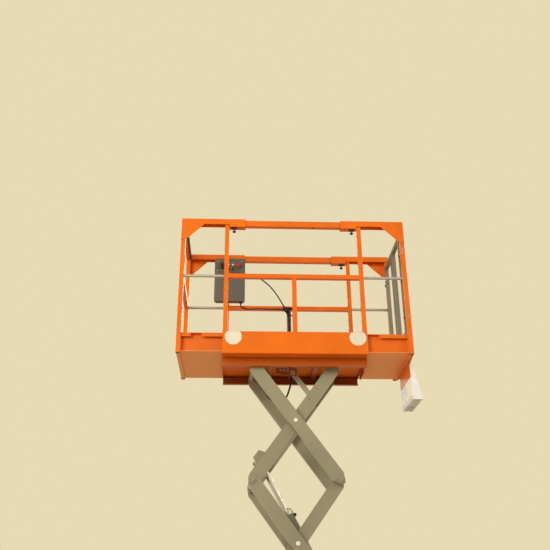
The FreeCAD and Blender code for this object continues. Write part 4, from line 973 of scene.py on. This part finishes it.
class LIFT_OT_paint(bpy.types.Operator):
    """Make the finishes and give each carried-over part its own"""
    bl_idname = "scissor_lift.paint"
    bl_label = "Paint the machine"

    def execute(self, context):
        make_shades(context.scene.lift_finish)
        dress("orange", "toe_board_front", "toe_board_rear", "centre_rails_front",
              "centre_rails_rear", "ext_left_rails", "ext_right_rails", "end_plate", "chassis_frame",
              "cover_front", "cover_rear")
        dress("deck", "deck_floor")
        # The extension frames carry painted bounce light under their floors, the deck frame painted shade below its
        # floor.
        dress("dusty", "ext_left_frame", "ext_right_frame")
        dress("grimy", "deck_frame")
        dress("arm", "inner_arms_1", "outer_arms_1", "inner_arms_2", "outer_arms_2", "knuckle_left",
              "knuckle_right", "tie_rod", "cylinder_barrel", "base_link")
        dress("bright", "base_axle_inner", "base_axle_outer", "top_axle_inner", "top_axle_outer")
        dress("link", "top_link")
        dress("chrome", "cylinder_rod")
        dress("black", "rear_stub_left", "rear_stub_right")
        dress("step", "entry_step")
        dress("gate", "gate_front", "gate_rear")
        dress("box", "control_box")
        dress("tyre", "tyre_fl", "tyre_fr", "tyre_rl", "tyre_rr")
        dress("rim", "rim_fl", "rim_fr", "rim_rl", "rim_rr")
        return {"FINISHED"}


class LIFT_OT_platform(bpy.types.Operator):
    """Add plates, plungers, rods, the black strip, welds, floor marks and anchor bolts to the platform"""
    bl_idname = "scissor_lift.platform"
    bl_label = "Platform fittings"

    def execute(self, context):
        fittings = context.scene.lift_fittings
        toe_plates(fittings)
        plungers()
        rail_rods()
        edge_strip()
        weld_beads()
        floor_marks(fittings)
        anchor_bolts()
        post_plugs()
        return {"FINISHED"}


class LIFT_OT_entry(bpy.types.Operator):
    """Add the fittings of the gates, their bolts and the grip of the step"""
    bl_idname = "scissor_lift.entry"
    bl_label = "Entry"

    def execute(self, context):
        gate_fittings()
        hinge_bolts()
        step_grip()
        return {"FINISHED"}


class LIFT_OT_controls(bpy.types.Operator):
    """Add the cables, their ties and the controls on the box"""
    bl_idname = "scissor_lift.controls"
    bl_label = "Controls"

    def execute(self, context):
        cables()
        cable_ties()
        cable_binding()
        box_controls()
        return {"FINISHED"}


class LIFT_OT_scissor(bpy.types.Operator):
    """Add pin caps, roller rings and the cylinder's gland and ports"""
    bl_idname = "scissor_lift.scissor"
    bl_label = "Scissor fittings"

    def execute(self, context):
        arm_fittings()
        arm_marks()
        roller_washers()
        cylinder_fittings()
        return {"FINISHED"}


class LIFT_OT_base(bpy.types.Operator):
    """Add tyres, rims and the fittings of the covers"""
    bl_idname = "scissor_lift.base"
    bl_label = "Wheels and covers"

    def execute(self, context):
        wheels(context.scene.lift_fittings)
        cover_fittings()
        return {"FINISHED"}


class LIFT_OT_stage(bpy.types.Operator):
    """Set the floor, backdrop, lamps and camera"""
    bl_idname = "scissor_lift.stage"
    bl_label = "Stage"

    def execute(self, context):
        stage = context.scene.lift_stage
        scene = context.scene
        scene.view_settings.view_transform = "Standard"
        s = Shader("pale_floor")
        place = s.place()
        grain = s.noise(place, 6.0, 5.0)
        x, y, _ = s.axes(place)
        far = s.ramp(s.maths("SQRT", x * x + y * y), 2.5, 12.0) * s.seen()
        colour = tuple(stage.floor)
        shade = s.mix(s.ramp(grain, 0.3, 0.75), tint(colour, 0.985), tint(colour, 1.015))
        floor_material = s.finish(Base_Color=s.mix(far, shade, (0.0, 0.0, 0.0)), Roughness=0.75 + grain * 0.1,
                                  Emission_Color=s.mix(far, (0.0, 0.0, 0.0), tuple(stage.backdrop)),
                                  Emission_Strength=1.0)
        size = 30.0
        mesh = bpy.data.meshes.new("floor")
        mesh.from_pydata([(-size, -size, 0), (size, -size, 0), (size, size, 0), (-size, size, 0)], [],
                         [(0, 1, 2, 3)])
        floor = bpy.data.objects.new("floor", mesh)
        mesh.materials.append(floor_material)
        scene.collection.objects.link(floor)

        world = bpy.data.worlds.new("studio")
        w = Shader("studio", world)
        soft = w.out(w.node("ShaderNodeBackground", None, {"Color": (1.0, 0.95, 0.86), "Strength": stage.sky}))
        backdrop = w.out(w.node("ShaderNodeBackground", None, {"Color": tuple(stage.backdrop)}))
        mixed = w.node("ShaderNodeMixShader", None, {0: w.seen(), 1: soft, 2: backdrop})
        w.node("ShaderNodeOutputWorld", None, {0: w.out(mixed)})
        scene.world = world

        lamps = (("front_lamp", (-5.0, -6.0, 3.9), (0.0, 0.0, 2.1), 3.2, stage.key),
                 ("right_lamp", (6.2, -3.2, 4.2), (0.0, 0.0, 1.8), 3.0, stage.key * 0.38),
                 ("back_lamp", (1.5, 6.2, 5.2), (0.0, 0.0, 1.6), 3.4, stage.key * 0.42))
        for name, place, aim, width, power in lamps:
            data = bpy.data.lights.new(name, "AREA")
            data.energy = power
            data.size = width
            data.color = (1.0, 0.94, 0.82)
            lamp = bpy.data.objects.new(name, data)
            lamp.location = place
            lamp.rotation_euler = (Vector(aim) - Vector(place)).to_track_quat("-Z", "Y").to_euler()
            scene.collection.objects.link(lamp)

        pitch, yaw, roll = math.radians(25.49), math.radians(3.02), math.radians(-0.50)
        look = Vector((math.sin(yaw) * math.cos(pitch), math.cos(yaw) * math.cos(pitch), math.sin(pitch)))
        level = Vector((math.cos(yaw), -math.sin(yaw), 0.0))
        upright = level.cross(look)
        right = level * math.cos(roll) + upright * math.sin(roll)
        up = upright * math.cos(roll) - level * math.sin(roll)
        data = bpy.data.cameras.new("camera")
        data.sensor_fit = "HORIZONTAL"
        data.sensor_width = 36.0
        data.lens = stage.lens
        data.clip_end = 200.0
        camera = bpy.data.objects.new("camera", data)
        turn = Matrix((right, up, -look)).transposed().to_4x4()
        camera.matrix_world = Matrix.Translation((-0.458, -5.5195, FLOOR_Z - 1.857)) @ turn
        scene.collection.objects.link(camera)
        scene.camera = camera
        return {"FINISHED"}


STEPS = (LIFT_OT_paint, LIFT_OT_platform, LIFT_OT_entry, LIFT_OT_controls, LIFT_OT_scissor, LIFT_OT_base,
         LIFT_OT_stage)


class LIFT_PT_panel(bpy.types.Panel):
    """Sizes, colours and steps of the scissor lift"""
    bl_idname = "LIFT_PT_panel"
    bl_label = "Scissor Lift"
    bl_space_type = "VIEW_3D"
    bl_region_type = "UI"
    bl_category = "Scissor Lift"

    def draw(self, context):
        for group in (context.scene.lift_finish, context.scene.lift_fittings, context.scene.lift_stage):
            column = self.layout.column()
            for name in group.__annotations__:
                column.prop(group, name)
        for step in STEPS:
            self.layout.operator(step.bl_idname)


GROUPS = (("lift_finish", LiftFinish), ("lift_fittings", LiftFittings), ("lift_stage", LiftStage))


def register():
    for name, group in GROUPS:
        bpy.utils.register_class(group)
        setattr(bpy.types.Scene, name, PointerProperty(type=group))
    for step in STEPS:
        bpy.utils.register_class(step)
    bpy.utils.register_class(LIFT_PT_panel)


def unregister():
    bpy.utils.unregister_class(LIFT_PT_panel)
    for step in reversed(STEPS):
        bpy.utils.unregister_class(step)
    for name, group in reversed(GROUPS):
        delattr(bpy.types.Scene, name)
        bpy.utils.unregister_class(group)


def main():
    register()
    for step in STEPS:
        getattr(bpy.ops.scissor_lift, step.bl_idname.split(".")[1])()


if __name__ == "__main__":
    main()
